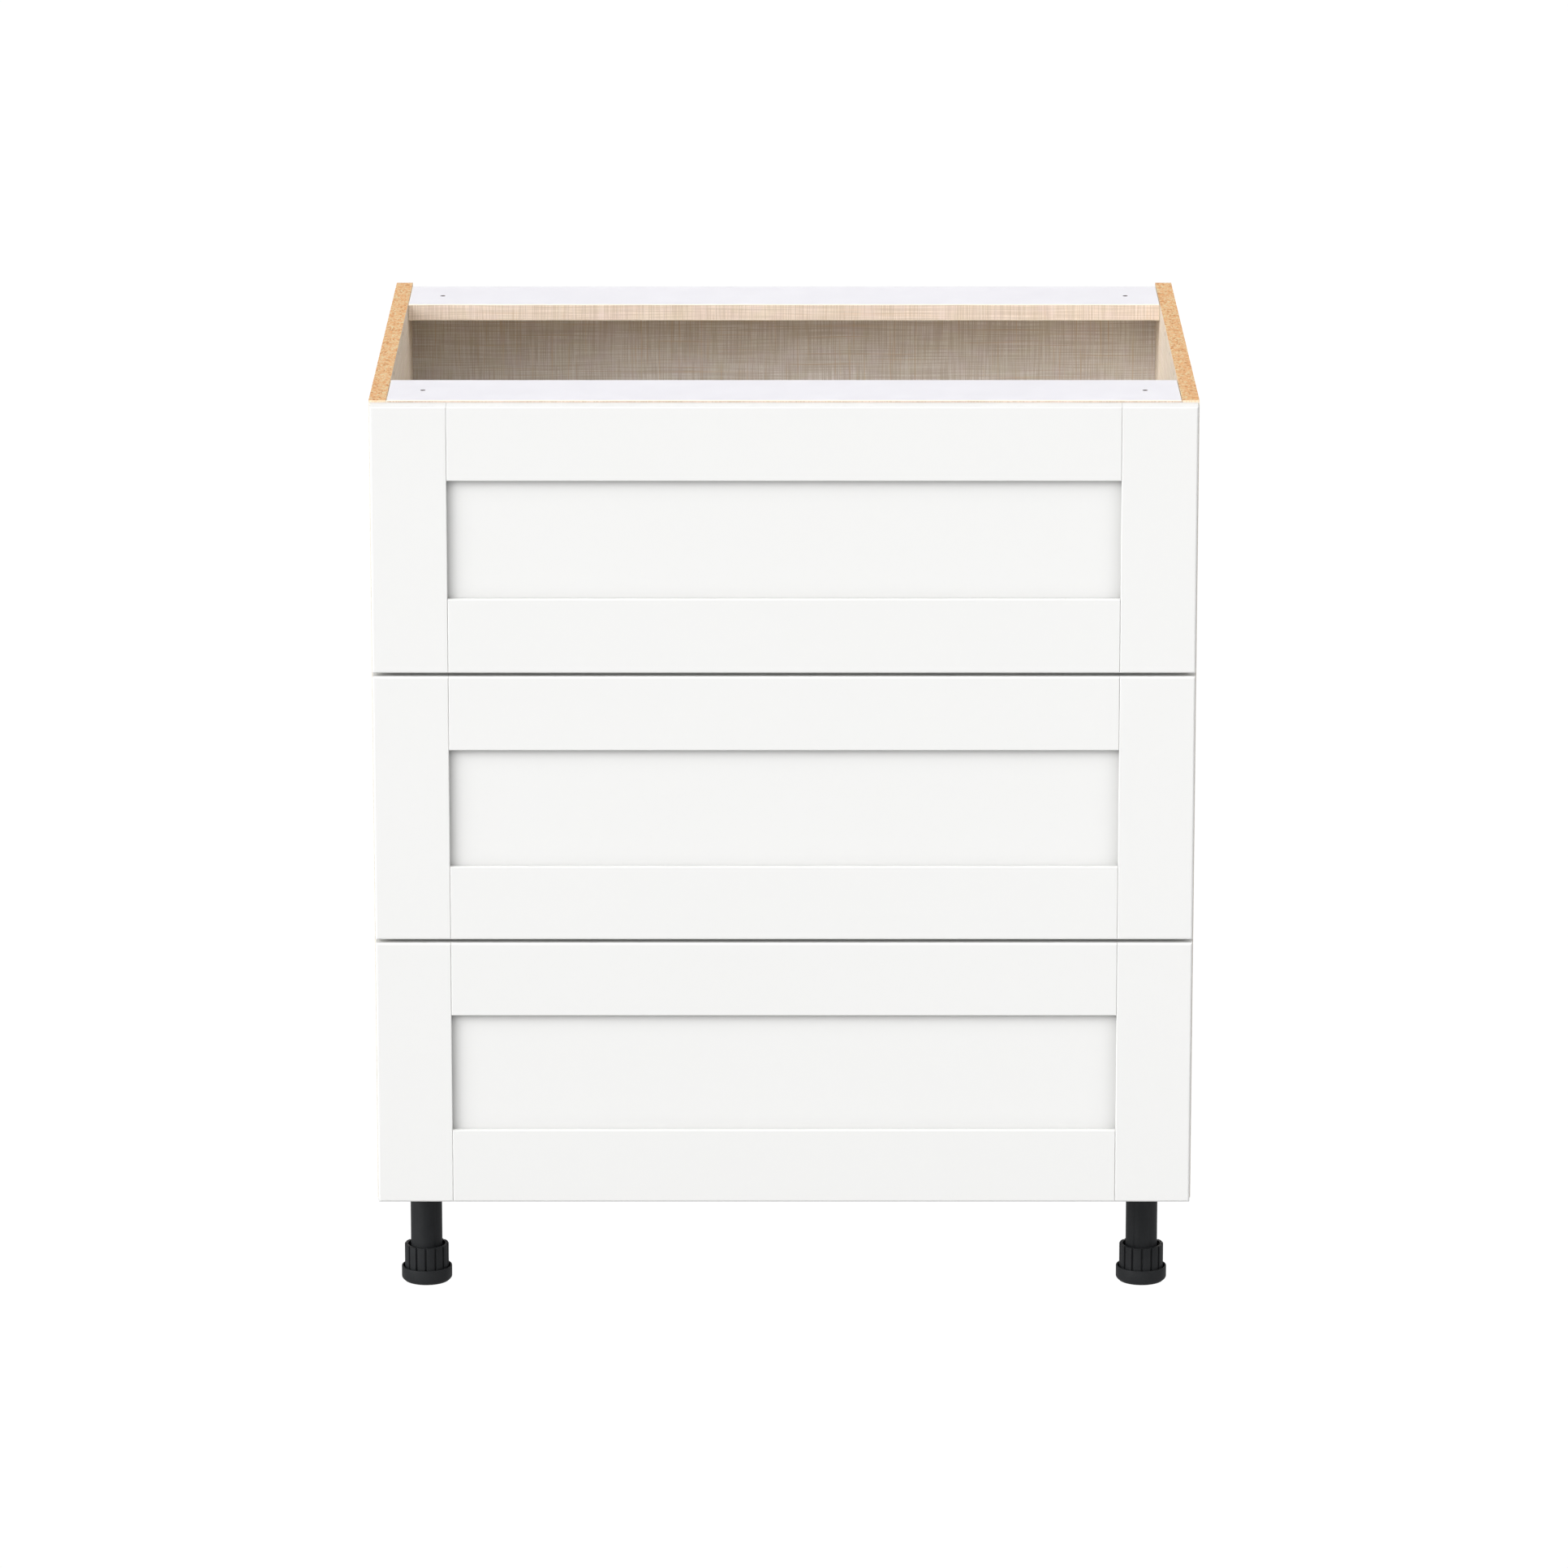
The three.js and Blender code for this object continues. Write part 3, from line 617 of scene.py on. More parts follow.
def joined(name, parts, mats=None):
    """Several objects as one, as separate shells of one piece."""
    bm = bmesh.new()
    keys = list(mats or [])
    for o in parts:
        names = [m.name for m in o.data.materials]
        for m in names:
            k = next(k for k, v in M.items() if v.name == m)
            if k not in keys:
                keys.append(k)
        start = len(bm.faces)
        dg = bpy.context.evaluated_depsgraph_get()
        me = bpy.data.meshes.new_from_object(o.evaluated_get(dg), depsgraph=dg)
        me.transform(o.matrix_world)
        bm.from_mesh(me)
        bm.faces.ensure_lookup_table()
        for f in bm.faces[start:]:
            f.material_index = keys.index(next(k for k, v in M.items() if v.name == names[f.material_index]))
        bpy.data.meshes.remove(me)
    for o in parts:
        me = o.data
        bpy.data.objects.remove(o)
        if me.users == 0:
            bpy.data.meshes.remove(me)
    me = bpy.data.meshes.new(name)
    bm.to_mesh(me)
    bm.free()
    for k in keys:
        me.materials.append(M[k])
    for p in me.polygons:
        p.use_smooth = True
    me.set_sharp_from_angle(angle=math.radians(32))
    return link(name, me)


def place(ob, body, *nodes, slot=None):
    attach(ob, body)
    if nodes:
        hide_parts(*nodes)
    return ob


# ------------------------------------------------------------------ carcass
CAP_DEEP = 2.1      # how deep the assembly screws' heads sit in the side panels
CONFIRMATS = [(y, LEG_HIGH + BOARD / 2) for y in (-236.0, 0.0, 240.0)] + [(y, HEIGHT - BOARD / 2) for y in (EDGE + 22, EDGE + 74, BACK_Y - 74, BACK_Y - 22)]


def side_panel(sign):
    side = "left" if sign < 0 else "right"
    out, inn = ("-x", "+x") if sign < 0 else ("+x", "-x")
    ob = brick(f"panel_side_{side}", sign * INNER, sign * HALF, EDGE, REAR, LEG_HIGH, HEIGHT,
               ("chip", "white_side_shaded", "linen_yz", "band", "cream"),
               {out: 1, inn: 2, "-y": 3, "+y": 0, "-z": 0, "+z": 0})
    g0, g1 = sorted((sign * (INNER - 1), sign * (INNER + GROOVE)))
    cuts = [brick("cut", g0, g1, BACK_Y - FIT, BACK_Y + BACK_THICK + FIT, LEG_HIGH - 1, BACK_TOP + FIT, ("chip",))]
    # pilot holes near the top; their walls take the painted shade of the hole material
    for d in (167, 265, 364):
        cuts.append(cylinder("cut", 2.5, 12, (sign * (INNER + 4), EDGE + d, HEIGHT - 8), "x", 24, ("hole_shade",)))
    for y, h in CONFIRMATS:
        cuts.append(cylinder("cut", 3.65, 2 * CAP_DEEP, (sign * HALF, y, h), "x", 32, ("chip",)))
    carve(ob, cuts)
    bevel(ob, 0.35, 2, material=4)
    return place(ob, "carcass", f"side_panel_{side}", slot="carcass_board")


def carcass():
    side_panel(-1)
    side_panel(1)
    ob = brick("panel_bottom", -INNER + FIT, INNER - FIT, EDGE, REAR, LEG_HIGH, FLOOR_TOP,
               ("chip", "white", "linen_xy", "linen_xz", "cream"), {"-y": 3, "+z": 2, "-z": 1})
    carve(ob, [brick("cut", -INNER - 1, INNER + 1, BACK_Y - FIT, BACK_Y + BACK_THICK + FIT, FLOOR_TOP - GROOVE, FLOOR_TOP + 1, ("chip",))])
    bevel(ob, 0.35, 2, material=4)
    place(ob, "carcass", "bottom_panel", slot="carcass_board")

    ob = brick("panel_back", -INNER - GROOVE + FIT, INNER + GROOVE - FIT, BACK_Y, BACK_Y + BACK_THICK,
               FLOOR_TOP - GROOVE + FIT, BACK_TOP, ("hdf", "linen_back"), {"-y": 1})
    bevel(ob, 0.2, 2)
    place(ob, "carcass", "back_panel", slot="back_board")

    for name, y0, y1, hole in (("front", EDGE, EDGE + RAIL_WIDE, 47), ("rear", BACK_Y - RAIL_WIDE, BACK_Y - FIT, 519)):
        ob = brick(f"rail_{name}", -INNER + FIT, INNER - FIT, y0, y1, HEIGHT - BOARD, HEIGHT,
                   ("chip", "white", "linen_xy", "linen_xz", "cream"), {"-y": 3, "+y": 3, "+z": 1, "-z": 2})
        bevel(ob, 0.7, 3, material=4)
        applied(ob)
        # two pilot holes; their walls take the painted shade of the hole material
        carve(ob, [cylinder("cut", 2.5, BOARD + 4, (s * 333, EDGE + hole, HEIGHT - BOARD / 2), "z", 24, ("hole_shade",)) for s in (-1, 1)])
        evened(ob)
        place(ob, "carcass", f"top_rail_{name}", slot="rail_board")


# ------------------------------------------------------------------ legs
def leg(name, x, y):
    top = LEG_HIGH - FIT
    under = top - 4
    h, c = 31.0, 9.0
    outline = []
    for sx, sy in ((1, 1), (-1, 1), (-1, -1), (1, -1)):
        base = math.atan2(sy, sx) - math.pi / 4
        for i in range(7):
            t = base + (math.pi / 2) * i / 6
            outline.append((sx * (h - c) + c * math.cos(t), sy * (h - c) + c * math.sin(t)))
    at = lambda p, q, s: (x + p, y + q, s)
    plate = prism("plate", outline, at, under, top, ("black",))
    tube = lathe("tube", [(0, under + 1), (15.0, under + 1), (15.0, 22.0), (14.4, 21.2), (13.6, 21.0), (7.6, 21.0), (7.6, 37.0),
                          (12.0, 39.0), (12.0, under - 3), (0, under - 3)], (x, y, 0), 72)
    hub = lathe("hub", [(0, under + 1), (19.5, under + 1), (19.5, under - 1.2), (18.6, under - 2.4), (14.5, under - 3.4), (0, under - 3.4)][::-1], (x, y, 0), 72)
    ribs = []
    for i in range(4):
        t = math.pi / 2 * i
        turn = lambda p, q, s, t=t: (x + p * math.cos(t) - s * math.sin(t), y + p * math.sin(t) + s * math.cos(t), q)
        ribs.append(prism("rib", [(13.5, under + 1), (13.5, under - 19), (15.2, under - 19), (16.4, under - 15), (h - 5, under - 1.4), (h - 5, under + 1)], turn, -1.3, 1.3, ("black",)))
    bores = [cylinder("bore", 12.02, 70, (x, y, 39.3 + 35), "z", 72, ("black",)), cylinder("bore", 7.62, 40, (x, y, 30), "z", 48, ("black",))]
    for a in (-1, 1):
        for b in (-1, 1):
            bores.append(cylinder("bore", 2.3, 12, (x + a * 22, y + b * 22, under + 2), "z", 24, ("black",)))
    carve(plate, [hub, *ribs, tube], "UNION")
    carve(plate, bores)
    tidy(plate)
    plate.name = f"leg_body_{name}"
    place(plate, "carcass", f"leg_{name}", slot="leg_plastic")

    ribs = 14
    rim = []
    R = 20.9
    for i in range(ribs):
        a = 2 * math.pi * i / ribs - math.pi / 2
        step = 2 * math.pi / ribs
        g = 0.055
        for r, t in ((R - 1.8, a - 0.028), (R - 1.8, a + 0.028), (R - 0.08, a + g), (R - 0.02, a + step * 0.3), (R + 0.02, a + step / 2), (R - 0.02, a + step * 0.7), (R - 0.08, a + step - g)):
            rim.append((r * math.cos(t), r * math.sin(t)))
    collar = prism("collar", rim, at, 8.0, 36.0, ("black",), sharp=20)
    bore = cylinder("bore", 17.6, 40, (x, y, 10.3 + 20), "z", 96, ("black",))
    carve(collar, [bore], sharp=20)
    spindle = lathe("spindle", [(0, 80), (6, 80), (7, 79), (7, 9), (0, 9)], (x, y, 0), 48)
    carve(collar, [spindle], "UNION", sharp=20)
    carve(collar, [cylinder("bore", 6, 12, (x, y, 8), "z", 48, ("black",))], sharp=20)
    bevel(collar, 0.45, 2, angle=28)
    collar.name = f"adjuster_collar_{name}"
    place(collar, f"adjuster_{name}", f"leg_adjuster_{name}", slot="leg_plastic")

    R = 24.0
    dish = lathe(f"foot_dish_{name}", [
        (0, 0.6), (16.0, 0.6), (16.6, 0.0), (R - 3.4, 0.0), (R - 2.9, 0.14), (R - 0.9, 2.0), (R - 0.16, 3.2), (R, 4.2), (R, 13.6), (R - 0.12, 14.2), (R - 0.5, 14.5),
        (R - 1.1, 14.5), (R - 1.5, 14.2), (R - 1.6, 13.6), (R - 1.6, 8.0), (R - 2.2, 7.2), (6.4, 7.2), (5.6, 7.8), (5.6, 12.4), (4.9, 13.2), (0, 13.2)],
        (x, y, 0), 96, sharp=38)
    place(dish, f"foot_{name}", f"foot_{name}", slot="leg_plastic")


# ------------------------------------------------------------------ drawer fronts
PANEL_Y = FACE + RECESS
G0, G1 = PANEL_Y - 0.2, PANEL_Y + PANEL_THICK + 0.2
GROOVE_DEEP = 9.0
STILE_X = HALF_FRONT - FRAME_WIDE
EASE = 2.1          # radius of the front's outer edges
SEAM = 0.42         # V groove's share of that


def front_section():
    w = FRAME_WIDE
    pts = [(0, FACE), (w, FACE), (w, G0), (w - GROOVE_DEEP, G0), (w - GROOVE_DEEP, G1), (w, G1), (w, FRONT_BACK), (0, FRONT_BACK)]
    long_w = [1.0, SEAM, 0, 0, 0, 0, 0.2, 0.25]
    return pts, long_w


def drawer_front(name, z):
    body = f"drawer_{name}"
    pts, long_w = front_section()
    w = FRAME_WIDE
    for side, sign in (("left", -1), ("right", 1)):
        whole = [(0, FACE), (w, FACE), (w, FRONT_BACK), (0, FRONT_BACK)]
        ob = prism(f"{body}_stile_{side}", [(sign * (HALF_FRONT - a), y) for a, y in whole], lambda p, q, s: (p, q, s), z, z + FRONT_HIGH,
                   ("front",), long_w=[1.0, SEAM, 0.2, 0.25], cap_w=[1.0, 0.1, 0.25, 0.25])
        bevel(ob, EASE, 5, weights=True)
        applied(ob)
        carve(ob, [brick("cut", sign * (STILE_X - 1), sign * (STILE_X + GROOVE_DEEP), G0, G1, z + w - GROOVE_DEEP, z + FRONT_HIGH - w + GROOVE_DEEP, ("front",))])
        evened(ob)
        place(ob, body, f"drawer_{name}_front_stile_{side}", slot="front_white")
    for which in ("upper", "lower"):
        path = [((z + FRONT_HIGH - a) if which == "upper" else (z + a), y) for a, y in pts]
        ob = prism(f"{body}_rail_{which}", path, lambda p, q, s: (s, q, p), -STILE_X + FIT / 2, STILE_X - FIT / 2,
                   ("front",), long_w=long_w, cap_w=[SEAM, 0.1, 0, 0, 0, 0.1, 0.1, 0.1])
        bevel(ob, EASE, 5, weights=True)
        place(ob, body, f"drawer_{name}_front_rail_{which}", slot="front_white")
    ob = brick(f"{body}_centre_panel", -STILE_X - 8, STILE_X + 8, PANEL_Y, PANEL_Y + PANEL_THICK,
               z + FRAME_WIDE - 8, z + FRONT_HIGH - FRAME_WIDE + 8, ("panel",))
    bevel(ob, 0.3, 2)
    place(ob, body, f"drawer_{name}_front_panel", slot="front_white")


# ------------------------------------------------------------------ runners and drawer boxes
def along_y(sign, datum):
    """(u, v) across the runner and y along it."""
    return lambda u, v, y: (sign * (INNER - u), y, datum + v)


def folded(name, path, radius, thick, sign, datum, y0, y1, mats):
    outline = sheet_outline(rounded(path, radius), thick)
    return prism(name, outline, along_y(sign, datum), y0, y1, mats, sharp=30)


def runners(name, datum, side, sign):
    t = 1.3
    h = t / 2
    fixed = folded("fixed", [(9.0, 36 - h), (FIT + h, 36 - h), (FIT + h, h), (12.5, h)], 1.4, t, sign, datum, RUNNER_Y0, RUNNER_Y1, ("zinc",))
    cuts = [cylinder("cut", 2.2, 8, (sign * (INNER - 1), y, datum + 18), "x", 24, ("zinc",)) for y in (-240, -112, 48, 208)]
    carve(fixed, cuts, sharp=30)
    fixed.name = f"runner_channel_{name}_{side}"
    place(fixed, "carcass", f"runner_{name}_{side}", slot="runner_steel")

    y0 = RUNNER_Y0 + 1
    mid = folded(f"runner_slider_{name}_{side}", [(11.0, 31 - h), (3.4 + h, 31 - h), (3.4 + h, 4 + h), (11.0, 4 + h)], 1.4, t, sign, datum, y0, y0 + 510, ("zinc",))
    place(mid, f"runner_members_{name}", f"runner_middle_member_{name}_{side}", slot="runner_steel")


def drawer_side(name, datum, side, sign):
    body = f"drawer_{name}"
    t = 1.2
    h = t / 2
    wall = folded("wall", [(27.0, 7 + h), (14.2 + h, 7 + h), (14.2 + h, WALL_TOP - h), (10.5 + h, WALL_TOP - h), (10.5 + h, WALL_TOP - 8)], 1.3, t,
                  sign, datum, SIDE_Y0, SIDE_Y1, ("steel",))
    flange = brick("flange", sign * (INNER - 14.2), sign * (INNER - 40), FRONT_BACK + FIT, FRONT_BACK + FIT + 1.5, datum + 30, datum + 110, ("steel",))
    web = brick("web", sign * (INNER - 14.2), sign * (INNER - 14.2 - t), FRONT_BACK + FIT, SIDE_Y0 + 1, datum + 30, datum + 110, ("steel",))
    carve(wall, [flange, web], "UNION", sharp=30)
    holes = [cylinder("cut", 2.4, 8, (sign * (INNER - 29), FRONT_BACK + 1, datum + v), "y", 24, ("steel",)) for v in (45, 95)]
    carve(wall, holes, sharp=30)
    wall.name = f"{body}_steel_side_{side}"
    place(wall, body, f"drawer_{name}_side_{side}", slot="drawer_steel")
    track = folded(f"{body}_runner_track_{side}", [(14.1, 8 + h), (6.4 + h, 8 + h), (6.4 + h, 26.2 - h), (14.1, 26.2 - h)], 1.3, t, sign, datum, SIDE_Y0, SIDE_Y1, ("zinc",))
    place(track, body, slot="runner_steel")


BOARD_X = INNER - 15.4 - FIT


def drawer_box(name, datum):
    body = f"drawer_{name}"
    y0 = FRONT_BACK + FIT + 1.5 + FIT
    z0 = datum + 8.2 + FIT
    ob = brick(f"{body}_base_board", -BOARD_X, BOARD_X, y0, SIDE_Y1, z0, z0 + BOARD, ("chip", "linen_xy", "white", "linen_xz", "cream"),
               {"+z": 1, "-z": 2, "-y": 3})
    bevel(ob, 0.35, 2, material=4)
    place(ob, body, f"drawer_{name}_base", slot="drawer_board")
    ob = brick(f"{body}_back_board", -BOARD_X, BOARD_X, SIDE_Y1 - BOARD, SIDE_Y1, z0 + BOARD + FIT, datum + 120,
               ("chip", "linen_xz", "linen_xy", "linen_xz", "cream"), {"-y": 1, "+y": 3, "+z": 2})
    bevel(ob, 0.5, 3, material=4)
    place(ob, body, f"drawer_{name}_back", slot="drawer_board")


# ------------------------------------------------------------------ fasteners, ball cages, dampers and bumpers
def frame_of(direction):
    """A turn that takes +Z to the given direction."""
    return Vector(direction).to_track_quat("Z", "Y").to_matrix().to_4x4()


def screw(bm, at, direction, head=3.6, high=1.5, shank=1.9, long=14.0, drive="cross", spin=0.0, seg=32, pitch=1.6):
    """A screw whose head lies on the point at and faces the given direction. The thread is a row of ridges."""
    rings = [[(0.0, -long)]]

    def ring(r, z, shape=None):
        pts = []
        for i in range(seg):
            t = 2 * math.pi * i / seg
            k = shape(t) if shape else 1.0
            pts.append((r * k * math.cos(t), r * k * math.sin(t), z))
        rings.append(pts)

    def cross(t):
        d = abs((t + math.pi / 4) % (math.pi / 2) - math.pi / 4)
        return 1.0 if d < 0.22 else 0.42

    def hexagon(t):
        return math.cos(math.pi / 6) / math.cos((t + math.pi / 6) % (math.pi / 3) - math.pi / 6)

    root = shank * 0.74
    ring(root * 0.5, -long + 0.8)
    z = -long + 2.2
    while z < -pitch * 1.2:
        ring(root, z)
        ring(shank, z + pitch * 0.42)
        ring(shank, z + pitch * 0.52)
        z += pitch
    ring(root, -0.25)
    ring(shank, 0.0)
    ring(head, 0.0)
    ring(head, high * 0.30)
    ring(head * 0.94, high * 0.62)
    ring(head * 0.80, high * 0.88)
    ring(head * 0.62, high)
    shape, r = (cross, head * 0.52) if drive == "cross" else (hexagon, head * 0.56)
    ring(r, high, shape)
    ring(r * 0.86, high * 0.25, shape)
    m = Matrix.Translation(Vector(at) * K) @ frame_of(direction) @ Matrix.Rotation(spin, 4, "Z")
    made = []
    for pts in rings:
        if len(pts) == 1:
            made.append([bm.verts.new(m @ (Vector((0, 0, pts[0][1])) * K))])
        else:
            made.append([bm.verts.new(m @ (Vector(q) * K)) for q in pts])
    made.append([bm.verts.new(m @ (Vector((0, 0, high * 0.12)) * K))])
    for a, b in zip(made, made[1:]):
        for i in range(seg):
            j = (i + 1) % seg
            if len(a) == 1:
                bm.faces.new((a[0], b[i], b[j]))
            elif len(b) == 1:
                bm.faces.new((a[i], b[0], a[j]))
            else:
                bm.faces.new((a[i], b[i], b[j], a[j]))


def screws(name, spots, body, slot, mats=("bolt",), **kind):
    bm = bmesh.new()
    for n, (at, direction) in enumerate(spots):
        screw(bm, at, direction, spin=0.7 * n + 0.3, **kind)
    return place(from_bmesh(name, bm, mats, 36), body, slot=slot)


def ball_row(name, body, sign, datum, rows, y0, y1, step):
    """Balls in a flat cage strip. rows holds (u0, u1, v, ball radius)."""
    parts = []
    for k, (u0, u1, v, r) in enumerate(rows):
        strip = brick("strip", sign * (INNER - u0), sign * (INNER - u1), y0, y1, datum + v - 0.4, datum + v + 0.4, ("grey",))
        bevel(strip, 0.15, 2)
        parts.append(strip)
        bm = bmesh.new()
        n = int((y1 - y0 - 10) // step)
        for i in range(n + 1):
            y = y0 + 5 + i * (y1 - y0 - 10) / n
            bmesh.ops.create_uvsphere(bm, u_segments=16, v_segments=8, radius=r * K,
                                      matrix=Matrix.Translation(Vector((sign * (INNER - (u0 + u1) / 2), y, datum + v)) * K))
        parts.append(from_bmesh("balls", bm, ("bolt",), 60))
    return place(joined(name, parts), body, slot="runner_steel")


def damper(name, body, sign, datum):
    """Closing damper above the channel: housing, cylinder, rod and catch."""
    at = along_y(sign, datum)
    y0, y1 = 112.0, 236.0
    house = prism("house", [(FIT + 0.2, 37.0), (12.6, 37.0), (12.6, 43.2), (11.2, 47.4), (8.0, 48.8), (FIT + 0.2, 48.8)], at, y0, y1, ("grey",))
    slot_cut = prism("cut", [(5.0, 40.0), (14.0, 40.0), (14.0, 44.0), (5.0, 44.0)], at, y0 + 9, y0 + 62, ("grey",))
    pocket = prism("cut", [(9.8, 39.4), (14.0, 39.4), (14.0, 45.0), (9.8, 45.0)], at, y0 + 70, y1 - 8, ("grey",))
    carve(house, [slot_cut, pocket], sharp=30)
    bevel(house, 0.4, 2)
    tube = cylinder("tube", 2.3, 40.0, (sign * (INNER - 8.6), y1 - 30, datum + 42.2), "y", 32, ("bolt",))
    bevel(tube, 0.3, 2)
    rod = cylinder("rod", 0.9, 26.0, (sign * (INNER - 8.0), y0 + 49, datum + 42.0), "y", 20, ("bolt",))
    catch = prism("catch", [(5.4, 40.4), (11.6, 40.4), (12.2, 41.0), (12.2, 43.0), (11.6, 43.6), (5.4, 43.6)], at, y0 + 22, y0 + 34, ("black",))
    bevel(catch, 0.3, 2)
    return place(joined(name, [house, tube, rod, catch]), body, slot="runner_steel")


def drawer_details(name, z):
    body, datum = f"drawer_{name}", z + RUNNER_RISE
    # stops on the back of the front, where it meets the carcass
    parts = []
    for sx in (-1, 1):
        for h in (14.0, FRONT_HIGH - 14.0):
            parts.append(lathe("stop", [(0, -0.02), (4.2, -0.02), (4.2, 0.5), (3.9, 0.85), (3.2, 1.12), (1.8, 1.24), (0, 1.28)], (sx * 372.6, FRONT_BACK, z + h), 40, ("clear",), axis="y"))
    place(joined(f"{body}_stop_pads", parts), body, slot="leg_plastic")
    spots = [((sx * (INNER - 29), FRONT_BACK + FIT + 1.5, datum + v), (0, 1, 0)) for sx in (-1, 1) for v in (45, 95)]
    screws(f"{body}_front_screws", spots, body, "runner_steel", head=4.0, high=2.0, shank=2.0, long=14.0)
    spots = [((sx * (INNER - 21), y, datum + 7), (0, 0, -1)) for sx in (-1, 1) for y in (-252, -130, -10, 110, 226)]
    screws(f"{body}_base_screws", spots, body, "runner_steel", head=3.4, high=1.3, shank=1.7, long=12.0)
    spots = [((sx * (INNER - 14.2), SIDE_Y1 - 8, datum + v), (sx, 0, 0)) for sx in (-1, 1) for v in (48, 100)]
    screws(f"{body}_back_screws", spots, body, "runner_steel", head=3.4, high=1.3, shank=1.7, long=20.0)
    for side, sign in (("left", -1), ("right", 1)):
        spots = [((sign * (INNER - 1.6), y, datum + 18), (-sign, 0, 0)) for y in (-240, -112, 48, 208)]
        screws(f"runner_screws_{name}_{side}", spots, "carcass", "runner_steel", head=3.6, high=1.4, shank=2.0, long=11.0)
        ball_row(f"runner_outer_balls_{name}_{side}", "carcass", sign, datum, [(5.0, 9.0, 32.85, 1.75), (5.2, 9.4, 2.65, 1.25)], -270.0, -72.0, 9.0)
        ball_row(f"runner_inner_balls_{name}_{side}", f"runner_members_{name}", sign, datum, [(7.0, 10.6, 27.95, 1.65), (7.0, 10.6, 6.65, 1.25)], -262.0, -68.0, 9.0)
        damper(f"runner_damper_{name}_{side}", "carcass", sign, datum)


def details():
    for n, x, y in LEGS:
        spots = [((x + a * 22, y + b * 22, LEG_HIGH - FIT - 4), (0, 0, -1)) for a in (-1, 1) for b in (-1, 1)]
        screws(f"leg_screws_{n}", spots, "carcass", "runner_steel", head=3.9, high=2.1, shank=2.1, long=16.0)
    for side, sign in (("left", -1), ("right", 1)):
        spots = [((sign * (HALF - CAP_DEEP), y, h), (sign, 0, 0)) for y, h in CONFIRMATS]
        screws(f"assembly_screws_{side}", spots, "carcass", "runner_steel", head=3.5, high=1.7, shank=2.5, long=44.0, drive="hex", pitch=3.0)
    for n, z in DRAWERS:
        drawer_details(n, z)


carcass()
for n, x, y in LEGS:
    leg(n, x, y)
for n, z in DRAWERS:
    drawer_front(n, z)
    drawer_box(n, z + RUNNER_RISE)
    for side, sign in (("left", -1), ("right", 1)):
        runners(n, z + RUNNER_RISE, side, sign)
        drawer_side(n, z + RUNNER_RISE, side, sign)
details()

# ------------------------------------------------------------------ floor, light and camera
# each soft light of the studio: degrees to the left of straight in front, degrees up, strength
SOFT_LIGHTS = [
    (60, 4, 4.15), (60, 18, 2.50), (60, 32, 3.95), (30, 32, 2.57), (30, 48, 1.94), (0, 48, 0.63), (-60, 18, 1.34),
    (-60, 32, 3.30), (-90, 4, 0.10), (-135, 20, 1.20), (180, 20, 2.25),
]
SOFT_POWER = 40.0
FLOOR_NEAR, FLOOR_FAR = 0.49, 0.60     # light given back by the floor beside the cabinet, and further off


def seen_as(nt, shown, real):
    """What the camera sees straight on, and what lights the rest."""
    mix = nt.nodes.new("ShaderNodeMixShader")
    path = nt.nodes.new("ShaderNodeLightPath")
    nt.links.new(path.outputs["Is Camera Ray"], mix.inputs[0])
    nt.links.new(real.outputs[0], mix.inputs[1])
    nt.links.new(shown.outputs[0], mix.inputs[2])
    return mix


def floor():
    bm = bmesh.new()
    bmesh.ops.create_circle(bm, cap_ends=True, segments=96, radius=14.0)
    bm.transform(Matrix.Translation((0, 0, -0.0004)))
    me = bpy.data.meshes.new("floor")
    bm.to_mesh(me)
    bm.free()
    ob = link("floor", me)
    m = bpy.data.materials.new("floor_pale")
    m.use_nodes = True
    nt = m.node_tree
    nt.nodes.clear()
    out = nt.nodes.new("ShaderNodeOutputMaterial")
    real = nt.nodes.new("ShaderNodeEmission")
    real.inputs["Color"].default_value = (1, 1, 1, 1)
    where = nt.nodes.new("ShaderNodeTexCoord")
    away = nt.nodes.new("ShaderNodeVectorMath")
    away.operation = "LENGTH"
    nt.links.new(where.outputs["Object"], away.inputs[0])
    fall = nt.nodes.new("ShaderNodeMapRange")
    fall.interpolation_type = "SMOOTHSTEP"
    nt.links.new(away.outputs["Value"], fall.inputs[0])
    for i, v in enumerate((0.5, 1.8, FLOOR_NEAR, FLOOR_FAR)):
        fall.inputs[i + 1].default_value = v
    nt.links.new(fall.outputs[0], real.inputs["Strength"])
    shown = nt.nodes.new("ShaderNodeEmission")
    shown.inputs["Color"].default_value = (1, 1, 1, 1)
    shown.inputs["Strength"].default_value = 1.02
    nt.links.new(seen_as(nt, shown, real).outputs[0], out.inputs[0])
    me.materials.append(m)


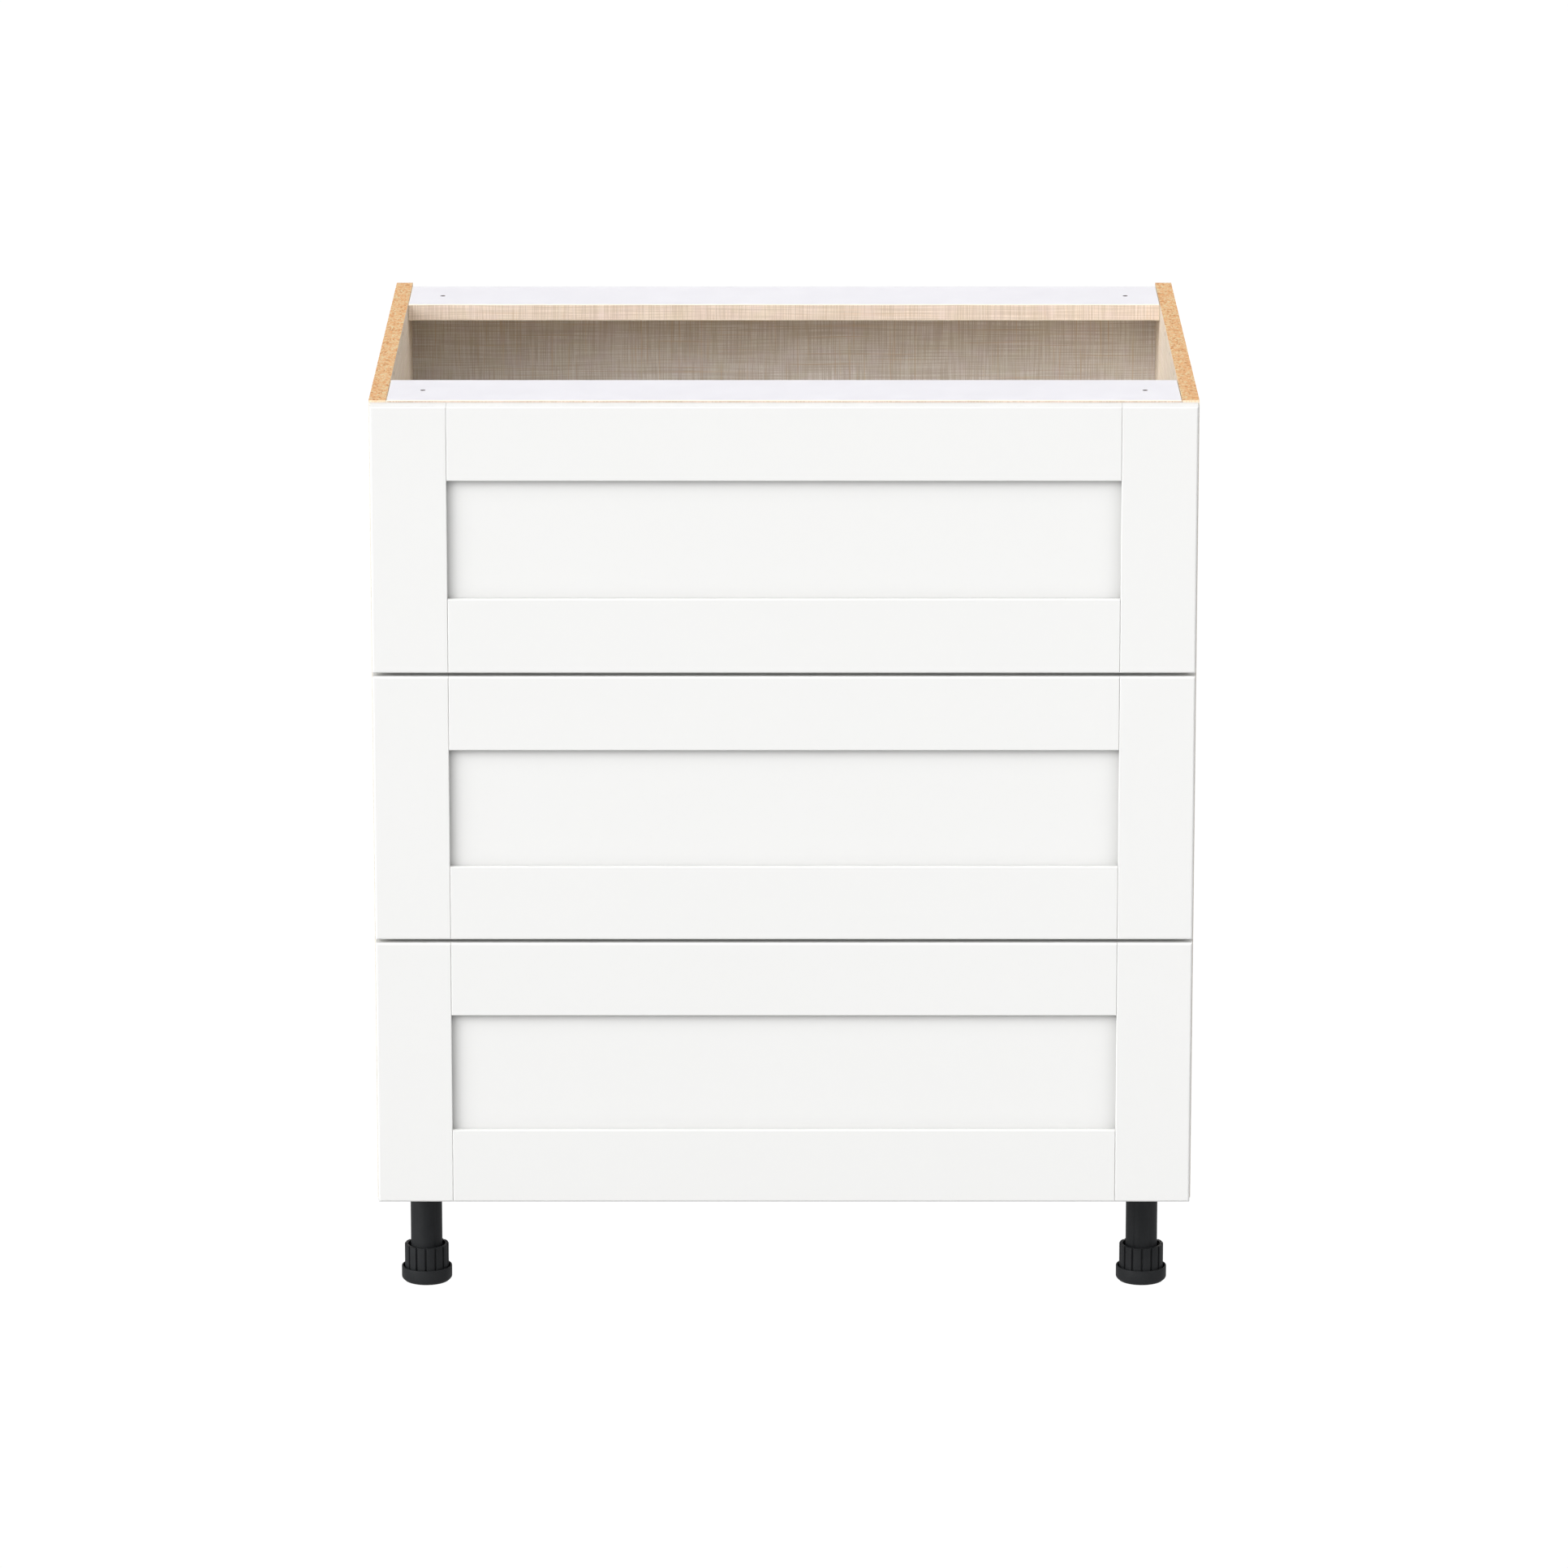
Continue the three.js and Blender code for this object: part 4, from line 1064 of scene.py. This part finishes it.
def world():
    """White studio: brightest from the upper left in front, and soft everywhere."""
    w = bpy.data.worlds.new("studio")
    SCENE.world = w
    w.use_nodes = True
    nt = w.node_tree
    nt.nodes.clear()
    out = nt.nodes.new("ShaderNodeOutputWorld")
    seen = nt.nodes.new("ShaderNodeBackground")
    seen.inputs["Color"].default_value = (1, 1, 1, 1)
    seen.inputs["Strength"].default_value = 1.02
    light = nt.nodes.new("ShaderNodeBackground")
    light.inputs["Color"].default_value = (1, 1, 1, 1)
    where = nt.nodes.new("ShaderNodeTexCoord")
    total = None
    for side, up, strength in SOFT_LIGHTS:
        a, e = math.radians(side), math.radians(up)
        dot = nt.nodes.new("ShaderNodeVectorMath")
        dot.operation = "DOT_PRODUCT"
        nt.links.new(where.outputs["Generated"], dot.inputs[0])
        dot.inputs[1].default_value = (-math.sin(a) * math.cos(e), -math.cos(a) * math.cos(e), math.sin(e))
        half = nt.nodes.new("ShaderNodeMath")
        half.operation = "MULTIPLY_ADD"
        nt.links.new(dot.outputs["Value"], half.inputs[0])
        half.inputs[1].default_value = half.inputs[2].default_value = 0.5
        lobe = nt.nodes.new("ShaderNodeMath")
        lobe.operation = "POWER"
        nt.links.new(half.outputs[0], lobe.inputs[0])
        lobe.inputs[1].default_value = SOFT_POWER
        sky = nt.nodes.new("ShaderNodeMath")
        sky.operation = "MULTIPLY_ADD"
        nt.links.new(lobe.outputs[0], sky.inputs[0])
        sky.inputs[1].default_value = strength
        if total is not None:
            nt.links.new(total, sky.inputs[2])
        else:
            sky.inputs[2].default_value = 0.0
        total = sky.outputs[0]
    nt.links.new(total, light.inputs["Strength"])
    nt.links.new(seen_as(nt, seen, light).outputs[0], out.inputs[0])


def camera():
    # the photograph is taken 7.6 m in front of the carcass, 1.53 m above its top
    d = bpy.data.cameras.new("camera")
    ob = bpy.data.objects.new("camera", d)
    COLLECTION.objects.link(ob)
    d.sensor_width = 36.0
    d.sensor_fit = "HORIZONTAL"
    d.lens = 36.0 * 10461.0 / 1932.0
    pitch = 0.2426
    ob.location = (0.0, (EDGE - 7640.0) * K, (HEIGHT + 1528.3) * K)
    ob.rotation_euler = (math.pi / 2 - pitch, 0.0, 0.0)
    d.clip_start, d.clip_end = 0.1, 60.0
    SCENE.camera = ob


floor()
world()
camera()
SCENE.view_settings.view_transform = "Standard"
SCENE.view_settings.look = "None"
SCENE.view_settings.exposure = 0.0
SCENE.view_settings.gamma = 1.0

bpy.context.view_layer.update()
